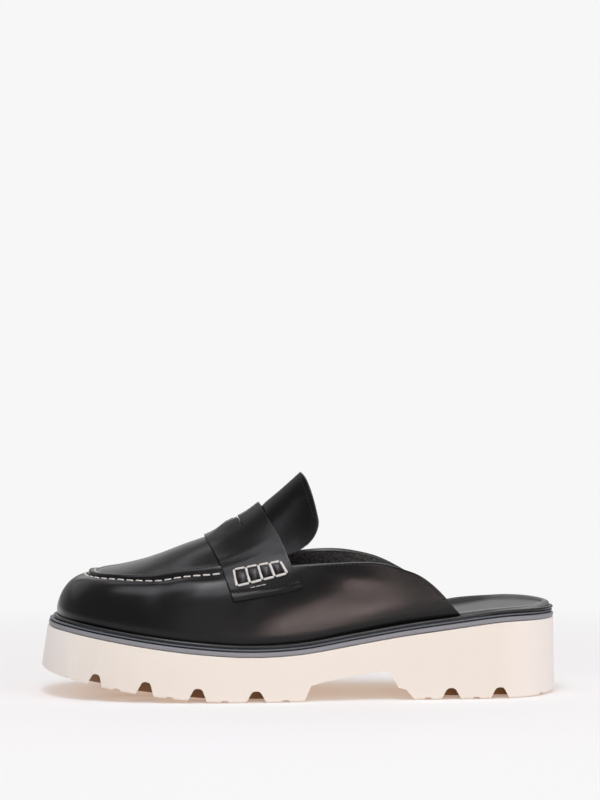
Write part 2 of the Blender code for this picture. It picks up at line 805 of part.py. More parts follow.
def make_strap(collection):
    """Saddle strap over the instep, with a slot in its middle and edges straight from the side."""
    surface = bmesh.new()
    lift_of = surface.verts.layers.float.new("lift")
    rows = strap_rows()
    first_slot_row = len(rows) - 1 - SLOT_ROWS
    for side in SIDES:
        heights = [row(Spoke(side, THROAT))[0][2] for row in rows]
        down = [(heights[-1] - height) / (heights[-1] - heights[0]) for height in heights]
        for half in ("front", "rear"):
            columns = []
            rolls = []
            for index, (row, share) in enumerate(zip(rows, down)):
                front = STRAP_FRONT[0] + (STRAP_FRONT[1] - STRAP_FRONT[0]) * share
                rear = STRAP_REAR[0] + (STRAP_REAR[1] - STRAP_REAR[0]) * share
                opening = 0.0
                if index > first_slot_row:
                    away = 1 - (index - first_slot_row) / SLOT_ROWS
                    opening = SLOT_OPENING * (1 - away**2)
                if half == "front":
                    shares = [(SLOT_AT - opening) * step for step in STRAP_FRONT_SHARES]
                else:
                    shares = [SLOT_AT + (1 - SLOT_AT) * step for step in STRAP_REAR_SHARES]
                placed = [row(Spoke(side, front + (rear - front) * step)) for step in shares]
                columns.append([point for point, _ in placed])
                rolls.append([up for _, up in placed])
            grid = skin(surface, columns, closed=False)
            for column, ups in zip(grid, rolls):
                for vertex, up in zip(column, ups):
                    vertex[lift_of] = up
    weld(surface)
    face_out(surface)
    rolls = [vertex[lift_of] for vertex in surface.verts]
    inner = [roll + STRAP_LIFT for roll in rolls]
    outer = [roll + STRAP_LIFT + STRAP for roll in rolls]
    finish_part(add_part("strap", thick_wall(surface, outer, inner)), collection)


def tongue_rear(out):
    """Rear edge of the tongue, swept back to its sides and round at its corners."""
    corner = max(out - TONGUE_CORNER_FROM, 0.0) / (1 - TONGUE_CORNER_FROM)
    swept = math.hypot(out, TONGUE_SWEEP_ROUND) - TONGUE_SWEEP_ROUND
    return TONGUE_REAR + TONGUE_SWEEP * swept - TONGUE_CORNER * (1 - math.sqrt(1 - corner**2))


def make_tongue(collection):
    surface = bmesh.new()
    lift_of = surface.verts.layers.float.new("lift")
    for side in SIDES:
        columns = []
        lifts = []
        for out in (*TONGUE_SHARES, 0.0):
            rear = tongue_rear(out)
            column = []
            column_lifts = []
            for step in range(TONGUE_STEPS + 1):
                spoke = Spoke(side, TONGUE_FRONT + (rear - TONGUE_FRONT) * step / TONGUE_STEPS)
                column.append(spoke.crown(spoke.reach * (1 - out * (1 - TONGUE_EDGE))))
                rise = smooth_step((spoke.x - TONGUE_RISE_FROM) / (TONGUE_RISE_TO - TONGUE_RISE_FROM))
                column_lifts.append((WALL + 2 * GAP) * (rise - 1))
            columns.append(column)
            lifts.append(column_lifts)
        grid = skin(surface, columns, closed=False)
        for column, ups in zip(grid, lifts):
            for vertex, up in zip(column, ups):
                vertex[lift_of] = up
    weld(surface)
    face_out(surface)
    outer = [vertex[lift_of] for vertex in surface.verts]
    inner = [lift - TONGUE for lift in outer]
    finish_part(add_part("tongue", thick_wall(surface, outer, inner)), collection)


def main():
    for old in list(bpy.data.objects):
        bpy.data.objects.remove(old, do_unlink=True)
    scene = bpy.context.scene
    parts = bpy.data.collections.new("backless_loafer")
    cutters = bpy.data.collections.new("cutters")
    scene.collection.children.link(parts)
    scene.collection.children.link(cutters)
    make_outsole(parts, cutters)
    make_midsole(parts)
    make_welt(parts)
    make_insole(parts)
    make_upper(parts)
    make_strap(parts)
    make_tongue(parts)


main()
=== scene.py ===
"""Looks of a backless penny loafer for the left foot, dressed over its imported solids.

The leather pieces are flat grids laid on one last form: a wall that rises from the feather line to
the apron seam, and a crown that rises from the seam to the instep ridge. Sizes are in millimetres
and are written to the meshes in metres. The toe points along -X, the outer side of the foot faces
-Y, and the floor is Z = 0.
"""

import math
from collections import namedtuple

import bpy
import numpy as np
from mathutils import Euler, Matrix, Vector
from mathutils.bvhtree import BVHTree


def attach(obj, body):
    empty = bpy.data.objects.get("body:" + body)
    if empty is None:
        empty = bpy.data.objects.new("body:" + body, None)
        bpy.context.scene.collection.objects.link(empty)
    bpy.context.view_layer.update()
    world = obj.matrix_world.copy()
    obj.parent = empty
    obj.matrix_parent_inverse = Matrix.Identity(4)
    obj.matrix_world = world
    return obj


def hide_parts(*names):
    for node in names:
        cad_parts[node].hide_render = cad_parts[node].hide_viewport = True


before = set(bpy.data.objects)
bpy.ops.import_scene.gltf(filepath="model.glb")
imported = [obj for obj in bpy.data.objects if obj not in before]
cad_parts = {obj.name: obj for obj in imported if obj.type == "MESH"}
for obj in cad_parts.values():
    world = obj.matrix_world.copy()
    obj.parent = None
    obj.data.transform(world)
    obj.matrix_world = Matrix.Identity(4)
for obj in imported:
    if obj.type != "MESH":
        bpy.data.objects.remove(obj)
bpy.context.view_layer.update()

MM = 0.001
LENGTH = 275.0
BALL_WIDTH = 98.5
HEEL_HEIGHT = 40.1
INSTEP = 72.0
GAP = 0.3
LATERAL = -1
MEDIAL = 1
SIDES = (LATERAL, MEDIAL)

# Top outline of the outsole: shares of the length from the heel, and of the ball width from the axis
Outline = namedtuple("Outline", "along lateral medial")
OUTLINE = (
    Outline(0.045, 0.262, 0.262),
    Outline(0.118, 0.360, 0.355),
    Outline(0.209, 0.386, 0.360),
    Outline(0.300, 0.406, 0.350),
    Outline(0.391, 0.437, 0.360),
    Outline(0.482, 0.477, 0.401),
    Outline(0.573, 0.513, 0.447),
    Outline(0.664, 0.528, 0.472),
    Outline(0.747, 0.518, 0.472),
    Outline(0.820, 0.482, 0.455),
    Outline(0.882, 0.424, 0.424),
    Outline(0.936, 0.325, 0.356),
    Outline(0.973, 0.173, 0.244),
)
TOE_TIP_SWING = 5.0
TOE_FLARE = 3.3
HEEL_FLARE = 0.6
OUTLINE_STEPS = 40

# Height of the outsole's top edge, in shares of the heel height
Seat = namedtuple("Seat", "along top")
SEAT = (
    Seat(0.000, 1.000),
    Seat(0.107, 0.993),
    Seat(0.202, 0.915),
    Seat(0.300, 0.823),
    Seat(0.398, 0.711),
    Seat(0.496, 0.603),
    Seat(0.594, 0.574),
    Seat(0.691, 0.616),
    Seat(0.789, 0.696),
    Seat(0.885, 0.798),
    Seat(0.944, 0.863),
    Seat(1.000, 0.908),
)

# Last form: inset and height of the apron seam over the feather line, and height of the ridge
Last = namedtuple("Last", "along seam_in seam_up ridge_up")
LAST = (
    Last(0.173, 0.100, 0.840, 1.400),
    Last(0.355, 0.112, 0.810, 1.390),
    Last(0.456, 0.128, 0.735, 1.361),
    Last(0.500, 0.134, 0.672, 1.222),
    Last(0.573, 0.142, 0.597, 1.000),
    Last(0.653, 0.148, 0.509, 0.801),
    Last(0.718, 0.152, 0.471, 0.687),
    Last(0.791, 0.155, 0.409, 0.548),
    Last(0.864, 0.158, 0.371, 0.440),
    Last(0.907, 0.163, 0.346, 0.390),
    Last(0.973, 0.172, 0.314, 0.352),
)
CROWN_POWER = 1.7
RIDGE_SHIFT = 3.0
TOE_FOCUS = -95.0
HEEL_FOCUS = 107.0
FOCUS_SPREAD = 0.15
FOCUS_BLEND = 14.0
TAUT_FROM = -80.0
TAUT_FULL = -42.0
TAUT_UNTIL = -28.0
TAUT_END = 0.0
STRING_STEPS = 24

# Topline behind the throat on each side, in shares of the instep height over the seat
Topline = namedtuple("Topline", "along lateral medial")
TOPLINE = (
    Topline(0.187, 0.012, 0.025),
    Topline(0.195, 0.050, 0.050),
    Topline(0.203, 0.090, 0.075),
    Topline(0.223, 0.190, 0.132),
    Topline(0.262, 0.340, 0.264),
    Topline(0.301, 0.430, 0.378),
    Topline(0.340, 0.503, 0.476),
    Topline(0.379, 0.539, 0.543),
    Topline(0.418, 0.560, 0.590),
    Topline(0.496, 0.592, 0.627),
    Topline(0.573, 0.578, 0.592),
    Topline(0.609, 0.560, 0.560),
)
THROAT = -30.0
WING_END = 86.0

# Raised roll along the apron seam: height over the leather at each distance in from the seam
Roll = namedtuple("Roll", "inside up")
ROLL = (
    Roll(-3.0, 0.0),
    Roll(-1.2, -0.1),
    Roll(0.0, -0.5),
    Roll(0.7, 0.45),
    Roll(1.3, 1.05),
    Roll(2.0, 1.45),
    Roll(2.8, 1.5),
    Roll(3.5, 0.95),
    Roll(4.2, 0.2),
    Roll(5.0, 0.0),
)
ROLL_END = 5.0
ROLL_FADE_FROM = -44.0
ROLL_FADE_TO = -34.0
ROLL_UNDER_STRAP = 0.3
ROLL_AT_TOE = 0.9
ROLL_TOE_FROM = -108.0
ROLL_TOE_TO = -84.0

WALL = 1.8
EDGE_ROUND = 0.45
TOPLINE_TURN = 0.6
# Where the topline is turned in and carries its painted highlight along the shoe: start, full, fall and
# end
TOPLINE_PAINT = (-10.0, 0.0, 42.0, 64.0)
TUCK_IN = 0.7
TUCK_UP = 6.0
TOE_STATIONS = 60
WING_STATIONS = 60
WALL_ROWS = 34
ROLL_ROWS = 18
CROWN_ROWS = 16

# Sections of the layers under the upper: inset from the top outline and height over their base
Edge = namedtuple("Edge", "inset up")
FEATHER_INSET = 4.5
MIDSOLE_THICKNESS = 3.9
MIDSOLE_EDGE = (
    Edge(1.2, 0.0),
    Edge(0.85, 0.15),
    Edge(0.7, 0.5),
    Edge(0.7, 1.9),
    Edge(0.85, 2.2),
    Edge(1.3, 2.35),
    Edge(2.4, 2.45),
    Edge(2.4, 3.05),
    Edge(1.5, 3.15),
    Edge(1.25, 3.35),
    Edge(1.3, 3.7),
    Edge(1.6, MIDSOLE_THICKNESS),
)
GROOVE_INSET = 2.0
LIP_FROM = 3.1
WELT_EDGE = (
    Edge(4.2, 0.0),
    Edge(2.1, 0.0),
    Edge(1.6, 0.5),
    Edge(1.6, 1.1),
    Edge(2.1, 1.7),
    Edge(3.0, 1.9),
    Edge(4.2, 1.7),
)
TOE_END = (-112.0, -128.0)
HEEL_END = (118.0, 135.0)
WELT_TOE_IN = 1.5
WELT_HEEL_OUT = 1.4
MIDSOLE_HEEL_OUT = 0.6
INSOLE_EDGE = (
    Edge(0.5, 0.0),
    Edge(0.0, 0.4),
    Edge(0.0, 2.6),
    Edge(0.2, 3.2),
    Edge(0.6, 3.6),
    Edge(1.2, 3.9),
    Edge(2.0, 3.9),
    Edge(2.6, 3.5),
    Edge(3.1, 2.1),
    Edge(3.4, 2.6),
    Edge(3.9, 2.9),
    Edge(6.0, 2.75),
    Edge(12.0, 2.5),
)
INSOLE_MIDDLE = 2.4
RIM_TO = 2.9
GAP_TO = 3.25
PANEL_EDGE_TO = 4.2

# The footbed's edge round the heel, where no wall hides it
HEEL_EDGE = (
    Edge(-1.6, 0.0),
    Edge(-1.9, 0.4),
    Edge(-2.0, 1.5),
    Edge(-2.4, 2.4),
    Edge(-2.0, 3.4),
    Edge(-1.0, 4.15),
    Edge(0.6, 4.4),
    Edge(1.4, 3.9),
    Edge(1.9, 2.1),
    Edge(2.2, 2.6),
    Edge(2.7, 2.9),
    Edge(5.0, 2.75),
    Edge(11.0, 2.5),
)
HEEL_EDGE_FROM = 88.0
HEEL_EDGE_FULL = 112.0

# Behind the wings the footbed's rim is low on its outer side and high on its inner side
RIM_OUTER = 0.5
RIM_INNER = 1.09
RIM_ARCH = 0.41
RIM_ARCH_END = 108.0
PANEL_INNER = 0.86
LEAN_ACROSS = 22.0
LEAN_FROM = 60.0
INSOLE_STEP = (1.2, 28.0)
SOLE_COLUMNS = 150

# Saddle strap: its front and rear edges run back from the ridge to the ends on the wall
STRAP = 1.7
STRAP_LIFT = 0.4
STRAP_TAUT = 1.0
STRAP_FRONT = (-50.0, -34.4)
STRAP_REAR = (-19.9, 1.9)
STRAP_BOW = 1.0
STRAP_TILT = (-0.8, 0.4)
SLOT_SINK = 0.5
STRAP_END_ANGLE = 38.0
SLOT_AT = 0.63
SLOT_OPENING = 0.3
SLOT_HALF_LENGTH = 12.5
SLOT_SLIT = 0.08
SLOT_CLOSE = 2.0
SLOT_BULGE = 1.4
SLOT_BULGE_AT = 0.465
SLOT_BULGE_SPREAD = 0.2
# The strap's cut edge keeps its painted highlight where it faces the heel this much; round the slot its
# rear edge takes painted shade
HIGHLIGHT_FACING = 0.6
SLOT_EDGE_X = (-45.0, -25.0)
SLOT_EDGE_Z = 80.0
BACKING_SHORT = 0.022
BACKING_PAST = 0.05
BACKING_PAST_ROWS = 2
BACKING_STEPS = 12
BACKING_CLEAR = 0.1
BACKING_ROUND = 0.1
STRAP_WALL_ROWS = 26
STRAP_ROLL_ROWS = 6
STRAP_CROWN_ROWS = 12
SLOT_ROWS = 14
STRAP_COLUMNS = 52

# Tongue: it starts under the apron and stands free behind the strap
TONGUE = 1.3
TONGUE_ROUND = 0.35
TONGUE_LINING = 0.9
TONGUE_LINING_GAP = 0.12
TONGUE_LINING_ROUND = 0.3
TONGUE_LINING_PROUD = (-0.5, -2.0)
TONGUE_LINING_PROUD_TO = 0.45
TONGUE_FRONT = -46.0
TONGUE_REAR = 1.2
TONGUE_SWEEP = 12.8
TONGUE_SWEEP_ROUND = 0.15
TONGUE_CORNER = 10.5
TONGUE_CORNER_FROM = 0.85
TONGUE_EDGE = 0.02
TONGUE_RISE_FROM = -28.0
TONGUE_RISE_TO = -16.0
TONGUE_CROWD = 1.5
TONGUE_COLUMNS = 34
TONGUE_ROWS = 40


def x_at(along):
    """Place along the shoe for a share of its length from the heel."""
    return LENGTH * (0.5 - along)


def across_share(pair, across):
    """Value at a share of the way from the first of a pair to the second."""
    return pair[0] + (pair[1] - pair[0]) * across


def spread(start, end, count):
    """Even steps from a start to an end, with both of them."""
    return [start + (end - start) * step / count for step in range(count + 1)]


def fade(value, start, end):
    """Share that goes smoothly from none at the start to all at the end."""
    share = min(max((value - start) / (end - start), 0.0), 1.0)
    return share * share * (3.0 - 2.0 * share)


def hermite(t, start, leave, end, arrive):
    """Smooth way from a start to an end, by the slopes at which it leaves and arrives."""
    return (
        (1 + 2 * t) * (1 - t) ** 2 * start
        + t * (1 - t) ** 2 * leave
        + t * t * (3 - 2 * t) * end
        + t * t * (t - 1) * arrive
    )


class Curve:
    """A smooth curve through a short table of places and values."""

    def __init__(self, places, values):
        order = np.argsort(places)
        self.x = np.array(places, float)[order]
        self.y = np.array(values, float)[order]
        self.slope = np.gradient(self.y, self.x)

    def __call__(self, x):
        x = min(max(x, self.x[0]), self.x[-1])
        row = min(int(np.searchsorted(self.x, x, side="right")) - 1, len(self.x) - 2)
        span = self.x[row + 1] - self.x[row]
        t = (x - self.x[row]) / span
        leave, arrive = span * self.slope[row : row + 2]
        return hermite(t, self.y[row], leave, self.y[row + 1], arrive)


def curves(rows):
    """One curve along the shoe for each column of a table."""
    stations = [x_at(row.along) for row in rows]
    names = rows[0]._fields[1:]
    return {name: Curve(stations, [getattr(row, name) for row in rows]) for name in names}


SEAT_CURVE = curves(SEAT)["top"]
LAST_CURVES = curves(LAST)
TOPLINE_CURVES = curves(TOPLINE)
ROLL_CURVE = Curve([row.inside for row in ROLL], [row.up for row in ROLL])


def sole_top(x):
    return HEEL_HEIGHT * SEAT_CURVE(x)


def midsole_base(x):
    return sole_top(x) + GAP


def welt_base(x):
    """The midsole's top with its gap, where welt, insole and upper stand."""
    return sole_top(x) + 2 * GAP + MIDSOLE_THICKNESS


def outline_points():
    """Closed smooth curve through the outline table, centred across the shoe."""
    toe = (x_at(1.0) + TOE_FLARE, TOE_TIP_SWING)
    heel = (x_at(0.0) - HEEL_FLARE, 0.0)
    outer = [(x_at(row.along), -row.lateral * BALL_WIDTH) for row in reversed(OUTLINE)]
    inner = [(x_at(row.along), row.medial * BALL_WIDTH) for row in OUTLINE]
    knots = np.array([toe, *outer, heel, *inner])
    points = []
    for index in range(len(knots)):
        before, start, end, after = (knots[(index + shift) % len(knots)] for shift in (-1, 0, 1, 2))
        chord = np.linalg.norm(end - start)
        leave = chord * (end - before) / (chord + np.linalg.norm(start - before))
        arrive = chord * (after - start) / (np.linalg.norm(after - end) + chord)
        for step in range(OUTLINE_STEPS):
            points.append(hermite(step / OUTLINE_STEPS, start, leave, end, arrive))
    points = np.array(points)
    points[:, 1] -= 0.5 * (points[:, 1].min() + points[:, 1].max())
    return points


class Loop:
    """The sole's top outline moved in by an inset, read at a place along the shoe on either side."""

    def __init__(self, inset):
        points = outline_points()
        along = np.roll(points, -1, axis=0) - np.roll(points, 1, axis=0)
        inward = np.column_stack((-along[:, 1], along[:, 0]))
        inward /= np.linalg.norm(inward, axis=1)[:, None]
        if np.sum((points.mean(axis=0) - points) * inward) < 0:
            inward = -inward
        points = points + inward * np.array([inset(x) for x in points[:, 0]])[:, None]
        points = np.roll(points, -int(np.argmin(points[:, 0])), axis=0)
        heel = int(np.argmax(points[:, 0]))
        self.chains = {
            LATERAL: points[: heel + 1],
            MEDIAL: np.vstack((points[:1], points[heel:][::-1])),
        }
        self.toe = points[0, 0]
        self.heel = points[heel, 0]

    def y(self, side, x):
        chain = self.chains[side]
        return float(np.interp(x, chain[:, 0], chain[:, 1]))

    def middle(self, x):
        return 0.5 * (self.y(LATERAL, x) + self.y(MEDIAL, x))

    def place(self, share):
        """Station for a share of the way from toe to heel, closer together at both ends."""
        return self.toe + (self.heel - self.toe) * 0.5 * (1 - math.cos(math.pi * share))


TOP_LOOP = Loop(lambda x: 0.0)
FEATHER_LOOP = Loop(lambda x: FEATHER_INSET)


def soft_excess(value):
    """Zero well below zero, the value itself well above, and a smooth bend between."""
    if value <= -FOCUS_BLEND:
        return 0.0
    if value >= FOCUS_BLEND:
        return value
    return (value + FOCUS_BLEND) ** 2 / (4 * FOCUS_BLEND)


def hub_x(x):
    """Where the spoke from a station on the edge meets the axis: it fans at the toe and the heel."""
    turned = 1.0 - FOCUS_SPREAD
    return x + turned * soft_excess(TOE_FOCUS - x) - turned * soft_excess(x - HEEL_FOCUS)


def bends_down(first, middle, last):
    """Whether a section turns down at its middle point."""
    run, rise = middle[0] - first[0], middle[1] - first[1]
    return run * (last[1] - middle[1]) < rise * (last[0] - middle[0])


class Spoke:
    """One section of the last form, from the feather line in to the instep ridge."""

    def __init__(self, side, x):
        hub = hub_x(x)
        self.x = x
        self.foot = np.array((x, FEATHER_LOOP.y(side, x)))
        self.hub = np.array((hub, FEATHER_LOOP.middle(hub) + RIDGE_SHIFT))
        self.inward = (self.hub - self.foot) / np.linalg.norm(self.hub - self.foot)
        self.base = welt_base(x)
        self.seam_in = BALL_WIDTH * LAST_CURVES["seam_in"](x)
        self.seam_up = INSTEP * LAST_CURVES["seam_up"](x)
        self.seam = self.foot + self.inward * self.seam_in
        self.reach = np.linalg.norm(self.hub - self.seam)
        self.ridge = welt_base(hub) + INSTEP * LAST_CURVES["ridge_up"](hub)
        self.string = None

    def wall_height(self, angle):
        return self.base + self.seam_up * math.sin(angle)

    def crown_height(self, share):
        start = self.base + self.seam_up
        return start + (self.ridge - start) * (1 - (1 - share) ** CROWN_POWER)

    def wall(self, angle, taut=None):
        """Point on the wall: a quarter ellipse that ends level at the seam."""
        inside = self.seam_in * (1 - math.cos(angle))
        plan = self.foot + self.inward * inside
        return (*plan, self.drawn(inside, self.wall_height(angle), taut))

    def crown(self, inside, taut=None):
        """Point on the crown, at a distance in from the seam."""
        share = min(inside / self.reach, 1.0)
        plan = self.seam + (self.hub - self.seam) * share
        height = self.crown_height(share)
        return (*plan, self.drawn(self.seam_in + self.reach * share, height, taut))

    def drawn(self, inside, height, taut):
        """Height with the hollow between wall and crown filled, as far as the leather is drawn over it."""
        if taut is None:
            taut = fade(self.x, TAUT_FROM, TAUT_FULL) * (1 - fade(self.x, TAUT_UNTIL, TAUT_END))
        if taut == 0.0:
            return height
        if self.string is None:
            self.string = self.pulled_string()
        return height + taut * max(float(np.interp(inside, *self.string)) - height, 0.0)

    def pulled_string(self):
        """A string pulled tight over the section: distances in from the foot, and heights."""
        angles = spread(0.0, math.pi / 2, STRING_STEPS)[:-1]
        shares = spread(0.0, 1.0, STRING_STEPS)
        section = [(self.seam_in * (1 - math.cos(angle)), self.wall_height(angle)) for angle in angles]
        section += [(self.seam_in + self.reach * share, self.crown_height(share)) for share in shares]
        string = []
        for spot in section:
            while len(string) > 1 and not bends_down(string[-2], string[-1], spot):
                string.pop()
            string.append(spot)
        return tuple(zip(*string))

    def roll(self, inside):
        """Height of the seam's roll at a distance in from the seam: it sinks under the strap."""
        sunk = (1 - ROLL_UNDER_STRAP) * fade(self.x, ROLL_FADE_FROM, ROLL_FADE_TO)
        lower = (1 - ROLL_AT_TOE) * fade(self.x, ROLL_TOE_TO, ROLL_TOE_FROM)
        return ROLL_CURVE(inside) * ((1 - sunk) * (1 - lower))

    def roll_below(self, angle):
        """The roll's share on the wall, which ends at the throat."""
        return self.roll(-self.seam_in * math.cos(angle)) if self.x <= THROAT else 0.0

    def tuck(self, angle):
        """How far the foot of the wall is drawn in over the welt."""
        return TUCK_IN * (1 - fade(self.seam_up * math.sin(angle), 0.0, TUCK_UP))


def topline_angle(side, x):
    """How far up the wall the upper is cut: all the way to the seam in front of the throat."""
    if x <= THROAT:
        return math.pi / 2
    column = "lateral" if side == LATERAL else "medial"
    return math.asin(min(TOPLINE_CURVES[column](x) / LAST_CURVES["seam_up"](x), 1.0))


# Mesh tools

WELD = 0.02
SOLE_WELD = 0.005
EDGE_ANGLE = 55.0
EDGE_SEGMENTS = 3

# Places of a leather piece's materials; the last takes painted shade on the strap slot's rear edge
FACE_SIDE, LINING_SIDE, CUT_EDGE, SLIT_SHADE = range(4)


def deselect():
    bpy.ops.object.select_all(action="DESELECT")


def activate(piece):
    deselect()
    piece.select_set(True)
    bpy.context.view_layer.objects.active = piece


def lay_grid(name, columns):
    """A flat grid laid out on points[column][row], given in millimetres."""
    points = np.asarray(columns, float)
    deselect()
    bpy.ops.mesh.primitive_grid_add(
        x_subdivisions=points.shape[0] - 1, y_subdivisions=points.shape[1] - 1, size=1.0
    )
    sheet = bpy.context.object
    sheet.name = name
    sheet.data.name = name
    sheet.data.vertices.foreach_set("co", points.transpose(1, 0, 2).reshape(-1) * MM)
    sheet.data.update()
    return sheet


def note(sheet, name, columns):
    """A value for each point of a grid, kept on its mesh."""
    values = np.asarray(columns, np.float32).transpose(1, 0).reshape(-1)
    sheet.data.attributes.new(name, "FLOAT", "POINT").data.foreach_set("value", values)


def noted(sheet, name):
    values = np.zeros(len(sheet.data.vertices), np.float32)
    sheet.data.attributes[name].data.foreach_get("value", values)
    return values


def lay_lifted(name, columns, lifts):
    """A grid that keeps how far each of its points is to be lifted."""
    sheet = lay_grid(name, columns)
    note(sheet, "lift", lifts)
    return sheet


def join(pieces):
    deselect()
    for piece in pieces:
        piece.select_set(True)
    bpy.context.view_layer.objects.active = pieces[0]
    bpy.ops.object.join()
    return pieces[0]


def weld(piece, distance=WELD):
    """Merges points that lie together and turns the faces the same way."""
    activate(piece)
    bpy.ops.object.mode_set(mode="EDIT")
    bpy.ops.mesh.select_all(action="SELECT")
    bpy.ops.mesh.remove_doubles(threshold=distance * MM)
    bpy.ops.mesh.normals_make_consistent(inside=False)
    bpy.ops.object.mode_set(mode="OBJECT")


def places(piece):
    spots = np.zeros(3 * len(piece.data.vertices), np.float64)
    piece.data.vertices.foreach_get("co", spots)
    return spots.reshape(-1, 3)


def normals(piece):
    turned = np.zeros(3 * len(piece.data.vertices), np.float32)
    piece.data.vertex_normals.foreach_get("vector", turned)
    return turned.reshape(-1, 3)


def face_up(piece):
    """Turns an open sheet so that its normals point up, away from the foot."""
    up = sum(face.normal.z * face.area for face in piece.data.polygons)
    if up < 0:
        piece.data.flip_normals()


def lift(piece, amounts):
    """Moves each point of a mesh along its own normal, by amounts in millimetres."""
    spots = places(piece) + normals(piece) * np.asarray(amounts)[:, None] * MM
    piece.data.vertices.foreach_set("co", spots.reshape(-1))
    piece.data.update()


def raise_noted(piece):
    """Turns a sheet up and lifts its points by what it keeps."""
    face_up(piece)
    lift(piece, noted(piece, "lift"))


def apply(piece, kind, **settings):
    """Adds a modifier, sets it and applies it."""
    activate(piece)
    modifier = piece.modifiers.new(kind.lower(), kind)
    for name, value in settings.items():
        setattr(modifier, name, value)
    bpy.ops.object.modifier_apply(modifier=modifier.name)


def dress(piece, *materials):
    piece.data.materials.clear()
    for material in materials:
        piece.data.materials.append(material)


def thicken(piece, thickness, edge_round, outer, inner, edge):
    """Gives a sheet its thickness inwards, with materials for its faces and its rounded edge."""
    dress(piece, outer, inner, edge)
    apply(
        piece,
        "SOLIDIFY",
        thickness=thickness * MM,
        offset=-1.0,
        use_even_offset=False,
        material_offset=LINING_SIDE,
        material_offset_rim=CUT_EDGE,
    )
    apply(
        piece,
        "BEVEL",
        width=edge_round * MM,
        segments=EDGE_SEGMENTS,
        limit_method="ANGLE",
        angle_limit=math.radians(EDGE_ANGLE),
        material=CUT_EDGE,
    )


def shade(piece, angle=50.0):
    activate(piece)
    bpy.ops.object.shade_smooth_by_angle(angle=math.radians(angle))


def finish_piece(piece, node=None):
    """Puts a piece on the shoe and hides the imported part that it stands for."""
    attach(piece, "root")
    if node:
        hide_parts(node)
    return piece


def tree_of(piece):
    return BVHTree.FromObject(piece, bpy.context.evaluated_depsgraph_get())


# Shader tools


class Shade:
    """One output of a node. Python's operators on it add Math nodes."""

    def __init__(self, finish, socket):
        self.finish = finish
        self.socket = socket

    def math(self, operation, *values):
        return self.finish.node("ShaderNodeMath", {"operation": operation}, dict(enumerate(values)))

    def __add__(self, other):
        return self.math("ADD", self, other)

    def __sub__(self, other):
        return self.math("SUBTRACT", self, other)

    def __rsub__(self, other):
        return self.math("SUBTRACT", other, self)

    def __mul__(self, other):
        return self.math("MULTIPLY", self, other)

    __radd__ = __add__
    __rmul__ = __mul__


class Finish:
    """A material whose nodes are added by expressions."""

    def __init__(self, name):
        self.material = bpy.data.materials.new(name)
        self.material.use_nodes = True
        self.tree = self.material.node_tree
        self.shader = self.tree.nodes["Principled BSDF"]

    def node(self, kind, settings=None, inputs=None, out=0):
        """Adds a node, sets it, and gives its sockets values or links."""
        made = self.tree.nodes.new(kind)
        for name, value in (settings or {}).items():
            if name == "stops":
                self.stops(made.color_ramp, value)
            else:
                setattr(made, name, value)
        for name, value in (inputs or {}).items():
            self.feed(made.inputs[name], value)
        return Shade(self, made.outputs[out])

    def stops(self, ramp, rows):
        while len(ramp.elements) < len(rows):
            ramp.elements.new(1.0)
        for element, (place, value) in zip(ramp.elements, rows):
            element.position = place
            element.color = (value, value, value, 1.0)

    def feed(self, socket, value):
        if isinstance(value, Shade):
            self.tree.links.new(value.socket, socket)
        else:
            socket.default_value = value

    def spot(self):
        """Object coordinates, in metres in the shoe's frame."""
        return self.node("ShaderNodeTexCoord", out="Object")

    def uv(self):
        return self.node("ShaderNodeTexCoord", out="UV")

    def attribute(self, name):
        return self.node("ShaderNodeAttribute", {"attribute_name": name}, out="Fac")

    def noise(self, scale, detail=3.0, rough=0.5):
        inputs = {"Vector": self.spot(), "Scale": scale, "Detail": detail, "Roughness": rough}
        return self.node("ShaderNodeTexNoise", None, inputs)

    def cells(self, scale, feature="F1"):
        inputs = {"Vector": self.spot(), "Scale": scale}
        return self.node("ShaderNodeTexVoronoi", {"feature": feature}, inputs)

    def ramp(self, value, *rows):
        return self.node("ShaderNodeValToRGB", {"stops": rows}, {0: value})

    def mix(self, share, first, second):
        """Blend of two colours."""
        inputs = {0: share, 6: first, 7: second}
        return self.node("ShaderNodeMix", {"data_type": "RGBA"}, inputs, out=2)

    def bump(self, height, strength, distance):
        inputs = {"Height": height, "Strength": strength, "Distance": distance * MM}
        return self.node("ShaderNodeBump", None, inputs)

    def set(self, **sockets):
        """Feeds the shader's own sockets, named with underscores for spaces."""
        for name, value in sockets.items():
            self.feed(self.shader.inputs[name.replace("_", " ")], value)
        return self.material


def rgb(red, green, blue):
    return (red, green, blue, 1.0)


def smooth_leather(name, gloss):
    """Black smooth calf: fine pores, faint cloudy sheen, a thin polish, and a painted highlight along the
    turned-in topline.
    """
    finish = Finish(name)
    cloud = finish.noise(28.0, 4.0, 0.55)
    pores = finish.cells(1500.0)
    fine = finish.noise(2600.0, 3.0, 0.6)
    veins = finish.noise(260.0, 5.0, 0.6)
    black = finish.mix(cloud, rgb(0.0022, 0.0022, 0.0025), rgb(0.0042, 0.004, 0.004))
    # Painted highlight: light blue-grey where the topline is turned in
    painted = finish.ramp(finish.attribute("painted"), (0.35, 0.0), (0.6, 1.0))
    colour = finish.mix(painted, black, rgb(0.14, 0.15, 0.168))
    mottle = finish.noise(1000.0, 2.0, 0.6)
    rough = 0.14 + cloud * 0.09 + fine * 0.05 + mottle * 0.07
    height = pores * 0.55 + fine * 0.5 + veins * 1.3
    return finish.set(
        Base_Color=colour,
        Roughness=rough,
        Specular_IOR_Level=0.28 * gloss,
        Coat_Weight=0.04 * gloss,
        Coat_Roughness=0.2,
        Normal=finish.bump(height, 0.26, 0.12),
    )


